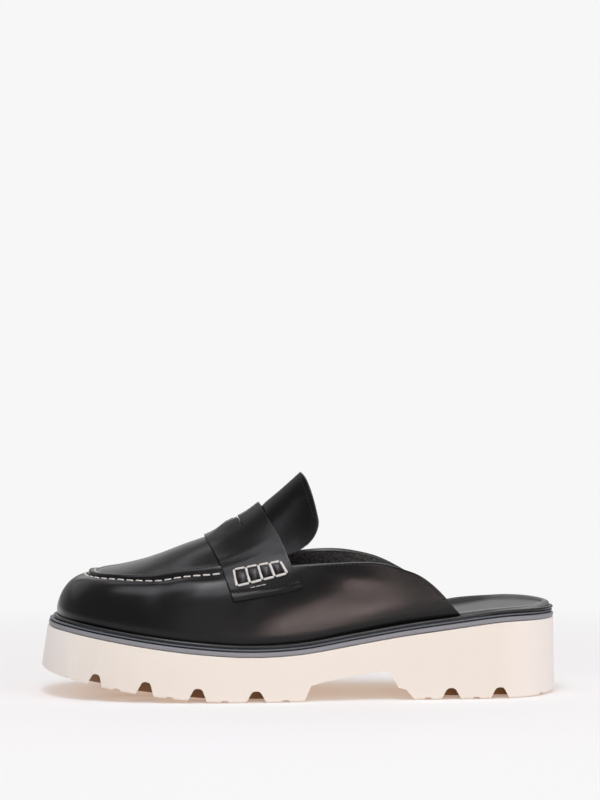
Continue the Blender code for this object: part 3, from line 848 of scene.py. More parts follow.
def pebbled_lining(name):
    """Black lining leather with a pebbled grain, its pebble tops painted lighter as glints."""
    finish = Finish(name)
    pebbles = finish.cells(720.0, "SMOOTH_F1")
    fine = finish.noise(1800.0, 3.0, 0.6)
    cloud = finish.noise(40.0, 3.0)
    # Painted glints: the pebble tops are lighter than the black leather
    colour = finish.mix(pebbles, rgb(0.12, 0.118, 0.115), rgb(0.012, 0.012, 0.012))
    height = 1.0 - pebbles * 1.6 + fine * 0.2
    return finish.set(
        Base_Color=colour,
        Roughness=0.36 + cloud * 0.16,
        Specular_IOR_Level=0.5,
        Normal=finish.bump(height, 0.75, 0.3),
    )


def edge_paint_and_highlight(name, dark, light):
    """Cut edge of the leather under a thin edge paint; light colours given to it stand for a painted
    highlight on the edge.
    """
    finish = Finish(name)
    fibre = finish.noise(900.0, 4.0, 0.65)
    colour = finish.mix(fibre, dark, light)
    return finish.set(
        Base_Color=colour,
        Roughness=0.3 + fibre * 0.15,
        Specular_IOR_Level=0.55,
        Normal=finish.bump(fibre, 0.2, 0.15),
    )


def footbed_cover(name):
    """Charcoal footbed cover with a fine tumbled grain, a darker rim with a painted sheen towards the
    heel, and a painted highlight along the panel's edge.
    """
    finish = Finish(name)
    grain = finish.cells(1150.0, "SMOOTH_F1")
    fine = finish.noise(2400.0, 3.0, 0.6)
    cloud = finish.noise(35.0, 4.0)
    middle = finish.mix(cloud, rgb(0.07, 0.07, 0.071), rgb(0.092, 0.091, 0.09))
    rim = finish.ramp(finish.attribute("rim"), (0.3, 0.0), (0.7, 1.0))
    # Painted highlight along the panel's edge
    edge = finish.ramp(finish.attribute("panel_edge"), (0.6, 0.0), (0.95, 1.0))
    # Painted sheen: the rim turns lighter towards the heel
    along = finish.node("ShaderNodeSeparateXYZ", None, {0: finish.spot()}, out="X")
    heel = finish.ramp(along * 8.0, (0.8, 0.0), (0.94, 1.0))
    rim_with_heel_sheen = finish.mix(heel, rgb(0.04, 0.04, 0.041), rgb(0.15, 0.15, 0.152))
    rimmed = finish.mix(rim, middle, rim_with_heel_sheen)
    colour = finish.mix(edge, rimmed, rgb(0.24, 0.24, 0.242))
    height = 1.0 - grain * 1.3 + fine * 0.25
    return finish.set(
        Base_Color=colour,
        Roughness=0.38 + cloud * 0.14,
        Specular_IOR_Level=0.4,
        Normal=finish.bump(height, 0.35, 0.2),
    )


def cream_rubber(name):
    """Cream foamed rubber: faint mottling, a matt skin and small moulding pits, painted light towards the
    toe and heel ends, and painted shade in the gaps between the lugs.
    """
    finish = Finish(name)
    cloud = finish.noise(22.0, 3.0)
    speckle = finish.noise(1400.0, 2.0, 0.6)
    pits = finish.cells(520.0)
    # Painted light: the colour turns lighter towards the toe and heel ends
    along = finish.node("ShaderNodeSeparateXYZ", None, {0: finish.spot()}, out="X")
    ends = finish.ramp(along * along * 50.0, (0.55, 0.0), (1.0, 1.0))
    plain = finish.mix(cloud, rgb(0.84, 0.775, 0.695), rgb(0.86, 0.795, 0.715))
    outside = finish.mix(ends * 0.95, plain, rgb(0.985, 0.93, 0.905))
    # Painted shade: warm brown inside the gaps between the lugs
    colour = finish.mix(finish.attribute("deep"), outside, rgb(0.33, 0.19, 0.1))
    return finish.set(
        Base_Color=colour,
        Roughness=0.56 + speckle * 0.12,
        Specular_IOR_Level=0.35,
        Normal=finish.bump(speckle * 0.6 + pits * 0.4, 0.08, 0.15),
    )


def grey_rubber(name):
    """Grey midsole strip with a darker blue-grey lip, and painted shade in the recess under that lip."""
    finish = Finish(name)
    lip = finish.ramp(finish.attribute("lip"), (0.45, 0.0), (0.55, 1.0))
    fine = finish.noise(900.0, 3.0, 0.6)
    streak = finish.noise(70.0, 3.0)
    strip = finish.mix(streak, rgb(0.25, 0.255, 0.275), rgb(0.275, 0.28, 0.3))
    edged = finish.mix(lip, strip, rgb(0.13, 0.143, 0.165))
    # Painted shade: near black in the recess under the lip
    groove = finish.ramp(finish.attribute("groove"), (0.2, 0.0), (0.8, 1.0))
    colour = finish.mix(groove, edged, rgb(0.012, 0.013, 0.016))
    return finish.set(
        Base_Color=colour,
        Roughness=0.42 + fine * 0.12,
        Specular_IOR_Level=0.4,
        Normal=finish.bump(fine, 0.1, 0.15),
    )


def black_bead(name):
    """Moulded black welt bead with a smooth polished skin."""
    finish = Finish(name)
    fine = finish.noise(1100.0, 3.0, 0.6)
    cloud = finish.noise(60.0, 3.0)
    colour = finish.mix(cloud, rgb(0.011, 0.011, 0.012), rgb(0.02, 0.02, 0.022))
    return finish.set(
        Base_Color=colour,
        Roughness=0.16 + fine * 0.1,
        Specular_IOR_Level=0.4,
        Normal=finish.bump(fine, 0.03, 0.1),
    )


def twisted_thread(name, light, dark):
    """Waxed thread: the plies show as slanted ridges along each stitch, with painted shade between them.
    """
    finish = Finish(name)
    ply = finish.node(
        "ShaderNodeTexWave",
        {"wave_type": "BANDS", "bands_direction": "DIAGONAL"},
        {"Vector": finish.uv(), "Scale": 2.4, "Distortion": 0.4},
    )
    fibre = finish.noise(3200.0, 3.0, 0.7)
    # Painted shade: darker between the plies
    colour = finish.mix(ply * 0.75 + fibre * 0.25, dark, light)
    return finish.set(
        Base_Color=colour,
        Roughness=0.55 + fibre * 0.2,
        Specular_IOR_Level=0.3,
        Normal=finish.bump(ply * 0.8 + fibre * 0.3, 0.5, 0.15),
    )


# Painted shade: nearly black, for the inside of stitch holes and the slot's slit
def hole_shade_finish(name):
    finish = Finish(name)
    shade_in = finish.noise(700.0, 2.0)
    return finish.set(
        Base_Color=finish.mix(shade_in, rgb(0.002, 0.002, 0.002), rgb(0.006, 0.006, 0.006)),
        Roughness=0.9,
        Specular_IOR_Level=0.1,
    )


LEATHER = smooth_leather("smooth_leather", 1.0)
TONGUE_LEATHER = smooth_leather("tongue_leather", 0.55)
LINING = pebbled_lining("pebbled_lining")
# Painted highlight on the cut edges of the strap and the tongue
EDGE_HIGHLIGHT = edge_paint_and_highlight("edge_paint_and_highlight", rgb(0.06, 0.064, 0.072), rgb(0.11, 0.117, 0.13))
TOPLINE_EDGE = edge_paint_and_highlight("topline_edge", rgb(0.01, 0.01, 0.011), rgb(0.022, 0.022, 0.024))
FOOTBED = footbed_cover("footbed_cover")
CREAM = cream_rubber("cream_sole")
GREY = grey_rubber("grey_strip")
BEAD = black_bead("black_bead")
WHITE_THREAD = twisted_thread("white_thread", rgb(0.86, 0.84, 0.81), rgb(0.5, 0.47, 0.44))
BLACK_THREAD = twisted_thread("black_thread", rgb(0.02, 0.019, 0.018), rgb(0.006, 0.006, 0.006))
BROWN_THREAD = twisted_thread("brown_thread", rgb(0.045, 0.034, 0.027), rgb(0.012, 0.01, 0.009))
HOLE_SHADE = hole_shade_finish("hole_shade")


# Sole


def sole_columns():
    """Side and share of each column round a closed edge, from the toe by the outer side and back."""
    shares = spread(0.0, 1.0, SOLE_COLUMNS)
    outer = [(LATERAL, share) for share in shares]
    return outer + [(MEDIAL, share) for share in reversed(shares[:-1])]


def at_heel(x):
    return fade(x, HEEL_EDGE_FROM, HEEL_EDGE_FULL)


def footbed_lean(x, y, edge):
    """Share of its section's height that the footbed keeps at a point behind the wings."""
    share = 1.0
    if edge.inset < RIM_TO:
        arch = RIM_ARCH * fade(x, RIM_ARCH_END, WING_END)
        share = RIM_OUTER if y < 0 else RIM_INNER + arch
    elif y > 0:
        share = PANEL_INNER
    behind = fade(x, LEAN_FROM, WING_END)
    return 1 + (share - 1) * behind * fade(abs(y), 0.0, LEAN_ACROSS)


def level(x, y, edge):
    """Lean of a layer that keeps its whole height."""
    return 1.0


def to_heel(inset, pair):
    """Inset of one row, which changes from its section's own to the heel's."""
    return lambda x: inset(x) + across_share(pair, at_heel(x))


def ring(name, section, inset, base, middle=None, heel=None, lean=level):
    """A closed layer: its section run round the outline, closed over the middle or back on itself."""
    edges = list(zip(section, heel or section))
    loops = [Loop(to_heel(inset, (edge.inset, end.inset))) for edge, end in edges]
    columns = []
    for side, share in sole_columns():
        column = []
        for loop, (edge, end) in zip(loops, edges):
            x = loop.place(share)
            y = loop.y(side, x)
            up = across_share((edge.up, end.up), at_heel(x))
            column.append((x, y, base(x) + up * lean(x, y, edge)))
        if middle is None:
            column.append(column[0])
        else:
            axis = hub_x(loops[-1].place(share))
            across = TOP_LOOP.middle(axis)
            column = [(axis, across, base(axis)), *column, (axis, across, base(axis) + middle)]
        columns.append(column)
    return lay_grid(name, columns)


def note_rows(piece, name, section, chosen, below=0.0, above=0.0):
    """Marks the chosen rows of a layer's section, and the middles below and above it."""
    rows = [below, *(float(chosen(edge)) for edge in section), above]
    note(piece, name, [rows] * len(sole_columns()))


def midsole_inset(x):
    return -MIDSOLE_HEEL_OUT * fade(x, *HEEL_END)


def make_midsole():
    piece = ring("midsole_strip", MIDSOLE_EDGE, midsole_inset, midsole_base, MIDSOLE_THICKNESS)
    note_rows(piece, "lip", MIDSOLE_EDGE, lambda edge: edge.up > LIP_FROM, above=1.0)
    # Rows of the recess under the lip, which take painted shade
    note_rows(piece, "groove", MIDSOLE_EDGE, lambda edge: edge.inset > GROOVE_INSET)
    weld(piece)
    shade(piece, angle=40.0)
    dress(piece, GREY)
    return finish_piece(piece, "midsole")


def welt_inset(x):
    return WELT_TOE_IN * fade(x, *TOE_END) - WELT_HEEL_OUT * fade(x, *HEEL_END)


def make_welt():
    piece = ring("welt_bead", WELT_EDGE, welt_inset, welt_base)
    weld(piece)
    apply(piece, "SUBSURF", levels=2, render_levels=2)
    shade(piece)
    dress(piece, BEAD)
    return finish_piece(piece, "welt")


def insole_inset(x):
    """The insole lies inside the upper's wall, and behind the wings it reaches the welt."""
    inside = FEATHER_INSET + WALL + 2 * GAP
    start, end = (WING_END + step for step in INSOLE_STEP)
    return inside + (FEATHER_INSET - inside) * fade(x, start, end)


def make_insole():
    piece = ring("footbed", INSOLE_EDGE, insole_inset, welt_base, INSOLE_MIDDLE, HEEL_EDGE, footbed_lean)
    note_rows(piece, "rim", INSOLE_EDGE, lambda edge: edge.inset < GAP_TO, below=1.0)
    # Rows of the panel's edge, which take a painted highlight
    note_rows(piece, "panel_edge", INSOLE_EDGE, lambda edge: GAP_TO < edge.inset < PANEL_EDGE_TO)
    weld(piece)
    apply(piece, "SUBSURF", levels=1, render_levels=1)
    shade(piece, angle=60.0)
    dress(piece, FOOTBED)
    return finish_piece(piece, "insole")


# Painted shade darkens the sole inside the gaps between its lugs, from this far in, but not on level faces
DEEP_FROM = 2.5
DEEP_TO = 10.0
LEVEL_FACE = 0.9

# Rounding of the sole's cut edges
SOLE_MERGE_ANGLE = 1.0
SOLE_ROUND = 0.5
SOLE_ROUND_ANGLE = 32.0


def note_gap_shade(piece):
    """How far inside the lugs' gaps each corner of the sole's faces lies, none on its level faces: the
    share of painted shade there.
    """
    spots = places(piece) / MM
    edges = np.vstack([TOP_LOOP.chains[side] for side in SIDES])
    inside = np.array([np.min(np.hypot(*(edges - spot[:2]).T)) for spot in spots])
    shares = np.clip((inside - DEEP_FROM) / (DEEP_TO - DEEP_FROM), 0.0, 1.0)
    corners = np.zeros(len(piece.data.loops), np.float32)
    for face in piece.data.polygons:
        if abs(face.normal.z) < LEVEL_FACE:
            for corner in face.loop_indices:
                corners[corner] = shares[piece.data.loops[corner].vertex_index]
    piece.data.attributes.new("deep", "FLOAT", "CORNER").data.foreach_set("value", corners)


def make_outsole():
    """The moulded sole: a copy of the solid with its cut edges slightly rounded."""
    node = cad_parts["outsole"]
    piece = bpy.data.objects.new("lugged_sole", node.data.copy())
    bpy.context.scene.collection.objects.link(piece)
    weld(piece, SOLE_WELD)
    activate(piece)
    bpy.ops.object.mode_set(mode="EDIT")
    bpy.ops.mesh.select_all(action="SELECT")
    bpy.ops.mesh.dissolve_limited(angle_limit=math.radians(SOLE_MERGE_ANGLE))
    bpy.ops.object.mode_set(mode="OBJECT")
    apply(
        piece,
        "BEVEL",
        width=SOLE_ROUND * MM,
        segments=2,
        limit_method="ANGLE",
        angle_limit=math.radians(SOLE_ROUND_ANGLE),
        use_clamp_overlap=True,
    )
    note_gap_shade(piece)
    shade(piece, angle=35.0)
    apply(piece, "WEIGHTED_NORMAL", mode="FACE_AREA", weight=50, keep_sharp=True)
    dress(piece, CREAM)
    return finish_piece(piece, "outsole")


# Upper

# Soft troughs and ridges of the leather, seen from the side: place, run, spread and depth
Crease = namedtuple("Crease", "side x z turn run spread depth")
CREASES = (
    Crease(LATERAL, -73.0, 57.5, 78.0, 10.0, 6.0, -0.6),
    Crease(LATERAL, -52.0, 57.0, 80.0, 9.0, 8.0, 0.45),
    Crease(LATERAL, -27.0, 48.1, 62.0, 12.0, 5.0, -0.35),
    Crease(LATERAL, 8.0, 54.1, 20.0, 22.0, 8.0, 0.35),
    Crease(LATERAL, 55.0, 37.5, 10.0, 38.0, 9.0, -1.0),
    Crease(LATERAL, 30.0, 64.1, -12.0, 18.0, 5.0, 0.3),
    Crease(LATERAL, 38.0, 64.0, 0.0, 40.0, 22.0, -1.4),
    Crease(MEDIAL, -66.0, 56.1, 80.0, 11.0, 6.0, -0.35),
    Crease(MEDIAL, -20.0, 52.1, 60.0, 14.0, 6.0, -0.35),
    Crease(MEDIAL, 24.0, 58.1, -16.0, 20.0, 7.0, 0.35),
)


def creased(spots):
    """How far each point stands off its smooth form, from the table of creases."""
    total = np.zeros(len(spots))
    for crease in CREASES:
        turn = math.radians(crease.turn)
        dx = spots[:, 0] / MM - crease.x
        dz = spots[:, 2] / MM - crease.z
        along = dx * math.cos(turn) + dz * math.sin(turn)
        aside = dz * math.cos(turn) - dx * math.sin(turn)
        near = np.exp(-((along / crease.run) ** 2) - (aside / crease.spread) ** 2)
        total += crease.depth * near * (np.sign(spots[:, 1]) == crease.side)
    return total


def front_stations():
    toe = FEATHER_LOOP.toe
    return [
        toe + (THROAT - toe) * (1 - math.cos(math.pi / 2 * step / TOE_STATIONS))
        for step in range(TOE_STATIONS + 1)
    ]


def round_the_toe(stations):
    """Side and spoke at each station, from the outer side's last round the toe to the inner side's."""
    outer = [(LATERAL, Spoke(LATERAL, x)) for x in reversed(stations[1:])]
    return outer + [(MEDIAL, Spoke(MEDIAL, x)) for x in stations]


def painted_share(x):
    """How far the topline is turned in and carries its painted highlight: from behind the strap to where
    the wing falls.
    """
    start, full, fall, end = TOPLINE_PAINT
    return fade(x, start, full) * fade(x, end, fall)


def make_upper():
    """Vamp wall with its wings, and the apron inside the raised seam, as one leather shell."""
    front = front_stations()
    walls = []
    wall_lifts = []
    paints = []
    for side, spoke in round_the_toe(front + spread(THROAT, WING_END, WING_STATIONS)[1:]):
        angles = spread(0.0, topline_angle(side, spoke.x), WALL_ROWS)
        paint = painted_share(spoke.x)
        lifts = [spoke.roll_below(angle) - spoke.tuck(angle) for angle in angles]
        lifts[-1] -= TOPLINE_TURN * paint
        walls.append([spoke.wall(angle) for angle in angles])
        wall_lifts.append(lifts)
        paints.append([0.0] * WALL_ROWS + [paint])
    wall = lay_lifted("leather_upper", walls, wall_lifts)
    # The turned-in last row takes the painted highlight
    note(wall, "painted", paints)
    crowns = []
    crown_lifts = []
    for _, spoke in round_the_toe(front):
        insides = spread(0.0, ROLL_END, ROLL_ROWS)[:-1] + spread(ROLL_END, spoke.reach, CROWN_ROWS)
        crowns.append([spoke.crown(inside) for inside in insides])
        crown_lifts.append([spoke.roll(inside) for inside in insides])
    piece = join([wall, lay_lifted("apron", crowns, crown_lifts)])
    weld(piece)
    raise_noted(piece)
    lift(piece, creased(places(piece)))
    thicken(piece, WALL, EDGE_ROUND, LEATHER, LINING, TOPLINE_EDGE)
    shade(piece)
    return finish_piece(piece, "upper")


# Strap


def strap_rows():
    """Rows of the strap on one side, from its end up to the ridge: each finds its point on a spoke."""
    rows = []
    for angle in spread(math.radians(STRAP_END_ANGLE), math.pi / 2, STRAP_WALL_ROWS)[:-1]:
        rows.append(lambda spoke, angle=angle: spoke.wall(angle, STRAP_TAUT))
    for inside in spread(0.0, ROLL_END, STRAP_ROLL_ROWS)[:-1]:
        rows.append(lambda spoke, inside=inside: spoke.crown(inside, STRAP_TAUT))
    for share in spread(0.0, 1.0, STRAP_CROWN_ROWS)[:-1]:
        rows.append(lambda spoke, share=share: spoke.crown(before_slot(spoke, share), STRAP_TAUT))
    for left in spread(SLOT_HALF_LENGTH, 0.0, SLOT_ROWS):
        rows.append(lambda spoke, left=left: spoke.crown(spoke.reach - left, STRAP_TAUT))
    return rows


def before_slot(spoke, share):
    """Distance in from the seam, for a share of the way from the seam's roll to the slot's end."""
    return across_share((ROLL_END, spoke.reach - SLOT_HALF_LENGTH), share)


class StrapSide:
    """The strap's rows on one side, read by how far down they are and how far across the strap."""

    def __init__(self, side):
        self.side = side
        self.rows = strap_rows()
        heights = [row(Spoke(side, THROAT))[2] for row in self.rows]
        self.down = [(heights[-1] - height) / (heights[-1] - heights[0]) for height in heights]

    def spoke(self, row, across):
        down = self.down[row]
        front = across_share(STRAP_FRONT, down) + STRAP_BOW * math.sin(math.pi * down)
        return Spoke(self.side, across_share((front, across_share(STRAP_REAR, down)), across))

    def point(self, row, across):
        return self.rows[row](self.spoke(row, across))

    def place(self, down, across):
        """Point of the leather under the strap for a share of the way down from the ridge."""
        index = float(np.interp(down, self.down[::-1], range(len(self.down) - 1, -1, -1)))
        low = min(int(index), len(self.rows) - 2)
        first, second = (np.array(self.point(row, across)) for row in (low, low + 1))
        return first + (second - first) * (index - low)

    def into_slot(self, row):
        """Share of the way from the slot's end to the ridge."""
        return max(row - (len(self.rows) - 1 - SLOT_ROWS), 0) / SLOT_ROWS

    def opening(self, row):
        """Width of the slot: a crescent on the outer side, which closes to a slit past the ridge."""
        into = self.into_slot(row)
        crescent = SLOT_OPENING * (1 - (1 - into) ** 2)
        if self.side == LATERAL:
            return crescent
        past = SLOT_HALF_LENGTH * (1 - into) / SLOT_CLOSE
        return min(crescent, across_share((SLOT_OPENING, SLOT_SLIT), min(past, 1.0)))

    def stand(self, row, across):
        """How far the strap's face stands off the leather under it: it bulges round the slot."""
        tilt = across_share(STRAP_TILT, across) * (1 - self.down[row])
        near = math.exp(-(((across - SLOT_BULGE_AT) / SLOT_BULGE_SPREAD) ** 2))
        return STRAP_LIFT + STRAP + tilt + SLOT_BULGE * near * fade(self.into_slot(row), 0.0, 1.0)


STRAP_SIDES = {side: StrapSide(side) for side in SIDES}


def over_the_ridge(first):
    """Strap side and row of each column, from a row on the outer side over to that on the inner side."""
    outer, inner = STRAP_SIDES.values()
    rows = range(first, len(outer.rows))
    return [(outer, row) for row in rows] + [(inner, row) for row in reversed(rows[:-1])]


# Box stitches that gather the strap's ends: how far across each bar stands at its top and its foot
Bar = namedtuple("Bar", "top foot")
BARS = (
    Bar(0.160, 0.118),
    Bar(0.344, 0.315),
    Bar(0.527, 0.503),
    Bar(0.701, 0.690),
    Bar(0.863, 0.880),
)
BOX_TOP = (0.590, 0.680)
BOX_FOOT = (0.815, 0.812)
BOX_SWELL = 0.75
BOX_WIDE_POWER = 0.7
BOX_HIGH_POWER = 0.6
END_ROW = (0.880, 0.948)
LIP_STEP = 0.45
LIP_SPREAD = 0.016
STRAP_EASE = 40
STRAP_EASE_RATE = 0.25


def strap_relief(down, across):
    """Relief of the strap: swollen boxes between the bars, and the lip of its end."""
    top = across_share(BOX_TOP, across)
    foot = across_share(BOX_FOOT, across)
    up = 0.0
    if top < down < foot:
        height = (down - top) / (foot - top)
        bars = [across_share(bar, height) for bar in BARS]
        for left, right in zip(bars, bars[1:]):
            if left < across < right:
                wide = math.sin(math.pi * (across - left) / (right - left)) ** BOX_WIDE_POWER
                up += BOX_SWELL * wide * math.sin(math.pi * height) ** BOX_HIGH_POWER
    row = across_share(END_ROW, across)
    up -= LIP_STEP * math.exp(-(((down - row) / LIP_SPREAD) ** 2))
    return up


def eased(columns):
    """The strap's rows with their heights evened out, so that nothing underneath shows as an edge."""
    taut = np.array(columns)
    last = len(taut) - 1
    to_slot = last // 2 - SLOT_ROWS
    from_end = [min(row, last - row) for row in range(1, last)]
    ease = np.array([1 - fade(row, to_slot - STRAP_CROWN_ROWS, to_slot) for row in from_end])
    for _ in range(STRAP_EASE):
        bend = taut[:-2, :, 2] - 2 * taut[1:-1, :, 2] + taut[2:, :, 2]
        taut[1:-1, :, 2] += STRAP_EASE_RATE * bend * ease[:, None]
    return taut


def make_slot_backing():
    """Leather behind the slot, just under the strap's face."""
    rear = SLOT_AT - BACKING_SHORT
    shares = spread(rear, rear - SLOT_OPENING - BACKING_PAST, BACKING_STEPS)
    columns = []
    lifts = []
    for strap, row in over_the_ridge(len(STRAP_SIDES[LATERAL].rows) - 1 - SLOT_ROWS - BACKING_PAST_ROWS):
        columns.append([strap.point(row, share) for share in shares])
        lifts.append([strap.stand(row, share) - SLOT_SINK for share in shares])
    piece = lay_lifted("slot_backing", columns, lifts)
    raise_noted(piece)
    thicken(piece, STRAP - SLOT_SINK - BACKING_CLEAR, BACKING_ROUND, LEATHER, LINING, LEATHER)
    shade(piece)
    return finish_piece(piece)


def paint_strap_edge_light_and_shade(piece):
    """Keeps the painted highlight on the cut edges that face the heel, and gives the slot's rear edge
    painted shade.
    """
    piece.data.materials.append(HOLE_SHADE)
    for face in piece.data.polygons:
        if face.material_index != CUT_EDGE:
            continue
        spot = face.center / MM
        if SLOT_EDGE_X[0] < spot.x < SLOT_EDGE_X[1] and spot.z > SLOT_EDGE_Z:
            face.material_index = SLIT_SHADE if face.normal.x < 0 else CUT_EDGE
        elif face.normal.x < HIGHLIGHT_FACING:
            face.material_index = FACE_SIDE


def strap_half(name, steps, reach):
    """The strap before or behind its slot, over what reach gives across it in each row."""
    columns = []
    lifts = []
    for strap, row in over_the_ridge(0):
        shares = spread(*reach(strap, row), steps)
        columns.append([strap.point(row, share) for share in shares])
        lifts.append([strap.stand(row, share) + strap_relief(strap.down[row], share) for share in shares])
    return lay_lifted(name, eased(columns), lifts)


def make_strap():
    """Saddle strap over the instep, with a slot in its middle."""
    front_steps = round(STRAP_COLUMNS * SLOT_AT)
    rear_steps = round(STRAP_COLUMNS * (1 - SLOT_AT))
    front = strap_half("strap_front", front_steps, lambda strap, row: (0.0, SLOT_AT - strap.opening(row)))
    rear = strap_half("strap_rear", rear_steps, lambda strap, row: (SLOT_AT, 1.0))
    piece = join([front, rear])
    piece.name = "saddle_strap"
    weld(piece)
    raise_noted(piece)
    # The cut edge takes a painted highlight, kept only where it faces the heel
    thicken(piece, STRAP, EDGE_ROUND, LEATHER, LINING, EDGE_HIGHLIGHT)
    paint_strap_edge_light_and_shade(piece)
    shade(piece)
    return finish_piece(piece, "strap")


# Tongue


def tongue_rear(out):
    """Rear edge of the tongue, swept back to its sides and round at its corners."""
    corner = max(out - TONGUE_CORNER_FROM, 0.0) / (1 - TONGUE_CORNER_FROM)
    swept = math.hypot(out, TONGUE_SWEEP_ROUND) - TONGUE_SWEEP_ROUND
    return TONGUE_REAR + TONGUE_SWEEP * swept - TONGUE_CORNER * (1 - math.sqrt(1 - corner**2))


def tongue_point(side, out, x):
    """Point of the tongue's form, and its lift: it lies under the apron and rises behind it."""
    spoke = Spoke(side, x)
    inside = spoke.reach * (1 - out * (1 - TONGUE_EDGE))
    rise = fade(x, TONGUE_RISE_FROM, TONGUE_RISE_TO)
    return spoke.crown(inside, 0.0), (WALL + 2 * GAP) * (rise - 1)


def tongue_sheet(name, sink, proud):
    """The tongue's form, sunk below its top face and moved back from its rear edge."""
    shares = [1 - (1 - share) ** TONGUE_CROWD for share in spread(0.0, 1.0, TONGUE_COLUMNS)]
    outs = [(LATERAL, out) for out in reversed(shares)] + [(MEDIAL, out) for out in shares[1:]]
    columns = []
    lifts = []
    for side, out in outs:
        rear = tongue_rear(out) + across_share(proud, fade(out, 0.0, TONGUE_LINING_PROUD_TO))
        placed = [tongue_point(side, out, x) for x in spread(TONGUE_FRONT, rear, TONGUE_ROWS)]
        columns.append([point for point, _ in placed])
        lifts.append([up - sink for _, up in placed])
    piece = lay_lifted(name, columns, lifts)
    raise_noted(piece)
    return piece


def make_tongue():
    """Standing tongue, and the lining under it."""
    top = tongue_sheet("leather_tongue", 0.0, (0.0, 0.0))
    # The cut edge takes a painted highlight
    thicken(top, TONGUE, TONGUE_ROUND, TONGUE_LEATHER, LINING, EDGE_HIGHLIGHT)
    shade(top)
    finish_piece(top, "tongue")
    under = tongue_sheet("tongue_lining", TONGUE + TONGUE_LINING_GAP, TONGUE_LINING_PROUD)
    thicken(under, TONGUE_LINING, TONGUE_LINING_ROUND, LINING, LINING, LINING)
    shade(under)
    finish_piece(under)
    return top


# Stitches

# Running stitches: their length, the gap to the next and the width of the thread
Stitch = namedtuple("Stitch", "length gap width")
SEAM_STITCH = Stitch(4.05, 1.1, 1.3)
APRON_STITCH = Stitch(2.6, 0.45, 0.75)
MARK_STITCH = Stitch(2.4, 0.5, 0.42)
END_STITCH = Stitch(1.5, 0.55, 0.75)
TONGUE_STITCH = Stitch(1.6, 0.6, 0.45)
TOPLINE_STITCH = Stitch(1.5, 0.75, 0.55)

# How far each row dips at its stitches' ends, in thread widths
SEAM_ARCH = 0.25
BOX_ARCH = 0.12
FINE_ARCH = 0.2

# Rows along the apron seam: offset in from it, and how far back they run
SEAM_ROW = (-1.3, -41.5)
APRON_ROW = (4.2, -108.0)

# Box stitches: widths in millimetres, and places in shares down and across the strap
BAR_WIDTH = 1.5
RUNG_WIDTH = 1.35
RUNG_INSET = 0.014
RUNG_HOLE_WIDTH = 1.1
RUNG_HOLE_HALF = 0.5
MARK_DOWN = 0.868
MARK_ACROSS = (0.3, 0.58)
MARK_STEPS = 20
MARK_SINK = 0.05

# Fine rows: along the strap's ends, the tongue's rear edge and the topline
END_ACROSS = (0.03, 0.96)
END_SHIFTS = (-0.022, 0.0)
FINE_STEPS = 60
TONGUE_ROW_IN = 2.2
TONGUE_ROW_OUT = (0.05, 0.85)
TOPLINE_ROW_BELOW = 1.7
TOPLINE_ROW_FROM = 4.0
TOPLINE_ROW_SHORT = 9.0
TOPLINE_ROW_STEPS = 160

# How far a thread stands out, and the dark marks of painted shade in its holes, in shares of its width
THREAD_FLAT = 0.8
THREAD_PROUD = 0.22
BOX_PROUD = 0.3
HOLE_SINK = 0.1
HOLE_WIDTH = 0.55

# Length of a hole, in millimetres
HOLE_LENGTH = 0.2

# Directions from which each row is settled on the leather, and from how far off
SEAM_LEAN = 0.35
BOX_UP = 0.55
STRAP_UP = 0.4
TONGUE_LOOK = (-0.3, 0.8, 0.6)
TOPLINE_UP = 0.25
SETTLE_FROM = 8.0


class StitchRow:
    """Many stitches of one thread, gathered as one mesh."""

    def __init__(self, arch):
        """One stitch lies along X, is a unit long and wide, and dips at both ends."""
        deselect()
        bpy.ops.mesh.primitive_uv_sphere_add(
            segments=8, ring_count=6, radius=0.5, rotation=(0, math.pi / 2, 0)
        )
        bpy.ops.object.transform_apply(location=False, rotation=True, scale=False)
        shape = bpy.context.object
        self.spots = places(shape)
        self.faces = [tuple(face.vertices) for face in shape.data.polygons]
        self.uv = np.zeros(2 * len(shape.data.loops), np.float32)
        shape.data.uv_layers.active.data.foreach_get("uv", self.uv)
        bpy.data.objects.remove(shape, do_unlink=True)
        self.arch = arch
        self.made = []

    def add(self, start, end, up, width):
        """A stitch from one point to another, on a surface that faces up."""
        start, end, up = (Vector(value) for value in (start, end, up))
        along = end - start
        length = along.length
        along.normalize()
        side = up.cross(along).normalized()
        up = along.cross(side)
        local = self.spots.copy()
        stretch = np.sign(local[:, 0]) * max(length - width, 0.0) / 2
        reach = local[:, 0] * width + stretch
        share = reach / (length / 2)
        rise = local[:, 2] * width * THREAD_FLAT - self.arch * width * share**2
        turned = np.outer(reach, along) + np.outer(local[:, 1] * width, side) + np.outer(rise, up)
        self.made.append(turned + np.array((start + end) / 2))

    def finish(self, name, slot, material):
        count = len(self.spots)
        spots = np.vstack(self.made)
        faces = [
            tuple(index + number * count for index in face)
            for number in range(len(self.made))
            for face in self.faces
        ]
        mesh = bpy.data.meshes.new(name)
        mesh.from_pydata(spots.tolist(), [], faces)
        layer = mesh.uv_layers.new(name="UVMap")
        layer.data.foreach_set("uv", np.tile(self.uv, len(self.made)))
        piece = bpy.data.objects.new(name, mesh)
        bpy.context.scene.collection.objects.link(piece)
        shade(piece, angle=80.0)
        dress(piece, material)
        return finish_piece(piece)


def settle(tree, point, outward):
    """The surface under a point near it: where a ray from outside first meets the leather."""
    outward = Vector(outward).normalized()
    start = Vector(point) * MM + outward * SETTLE_FROM * MM
    spot, normal, _, _ = tree.ray_cast(start, -outward)
    if spot is None:
        spot, normal, _, _ = tree.find_nearest(Vector(point) * MM)
    return spot, normal


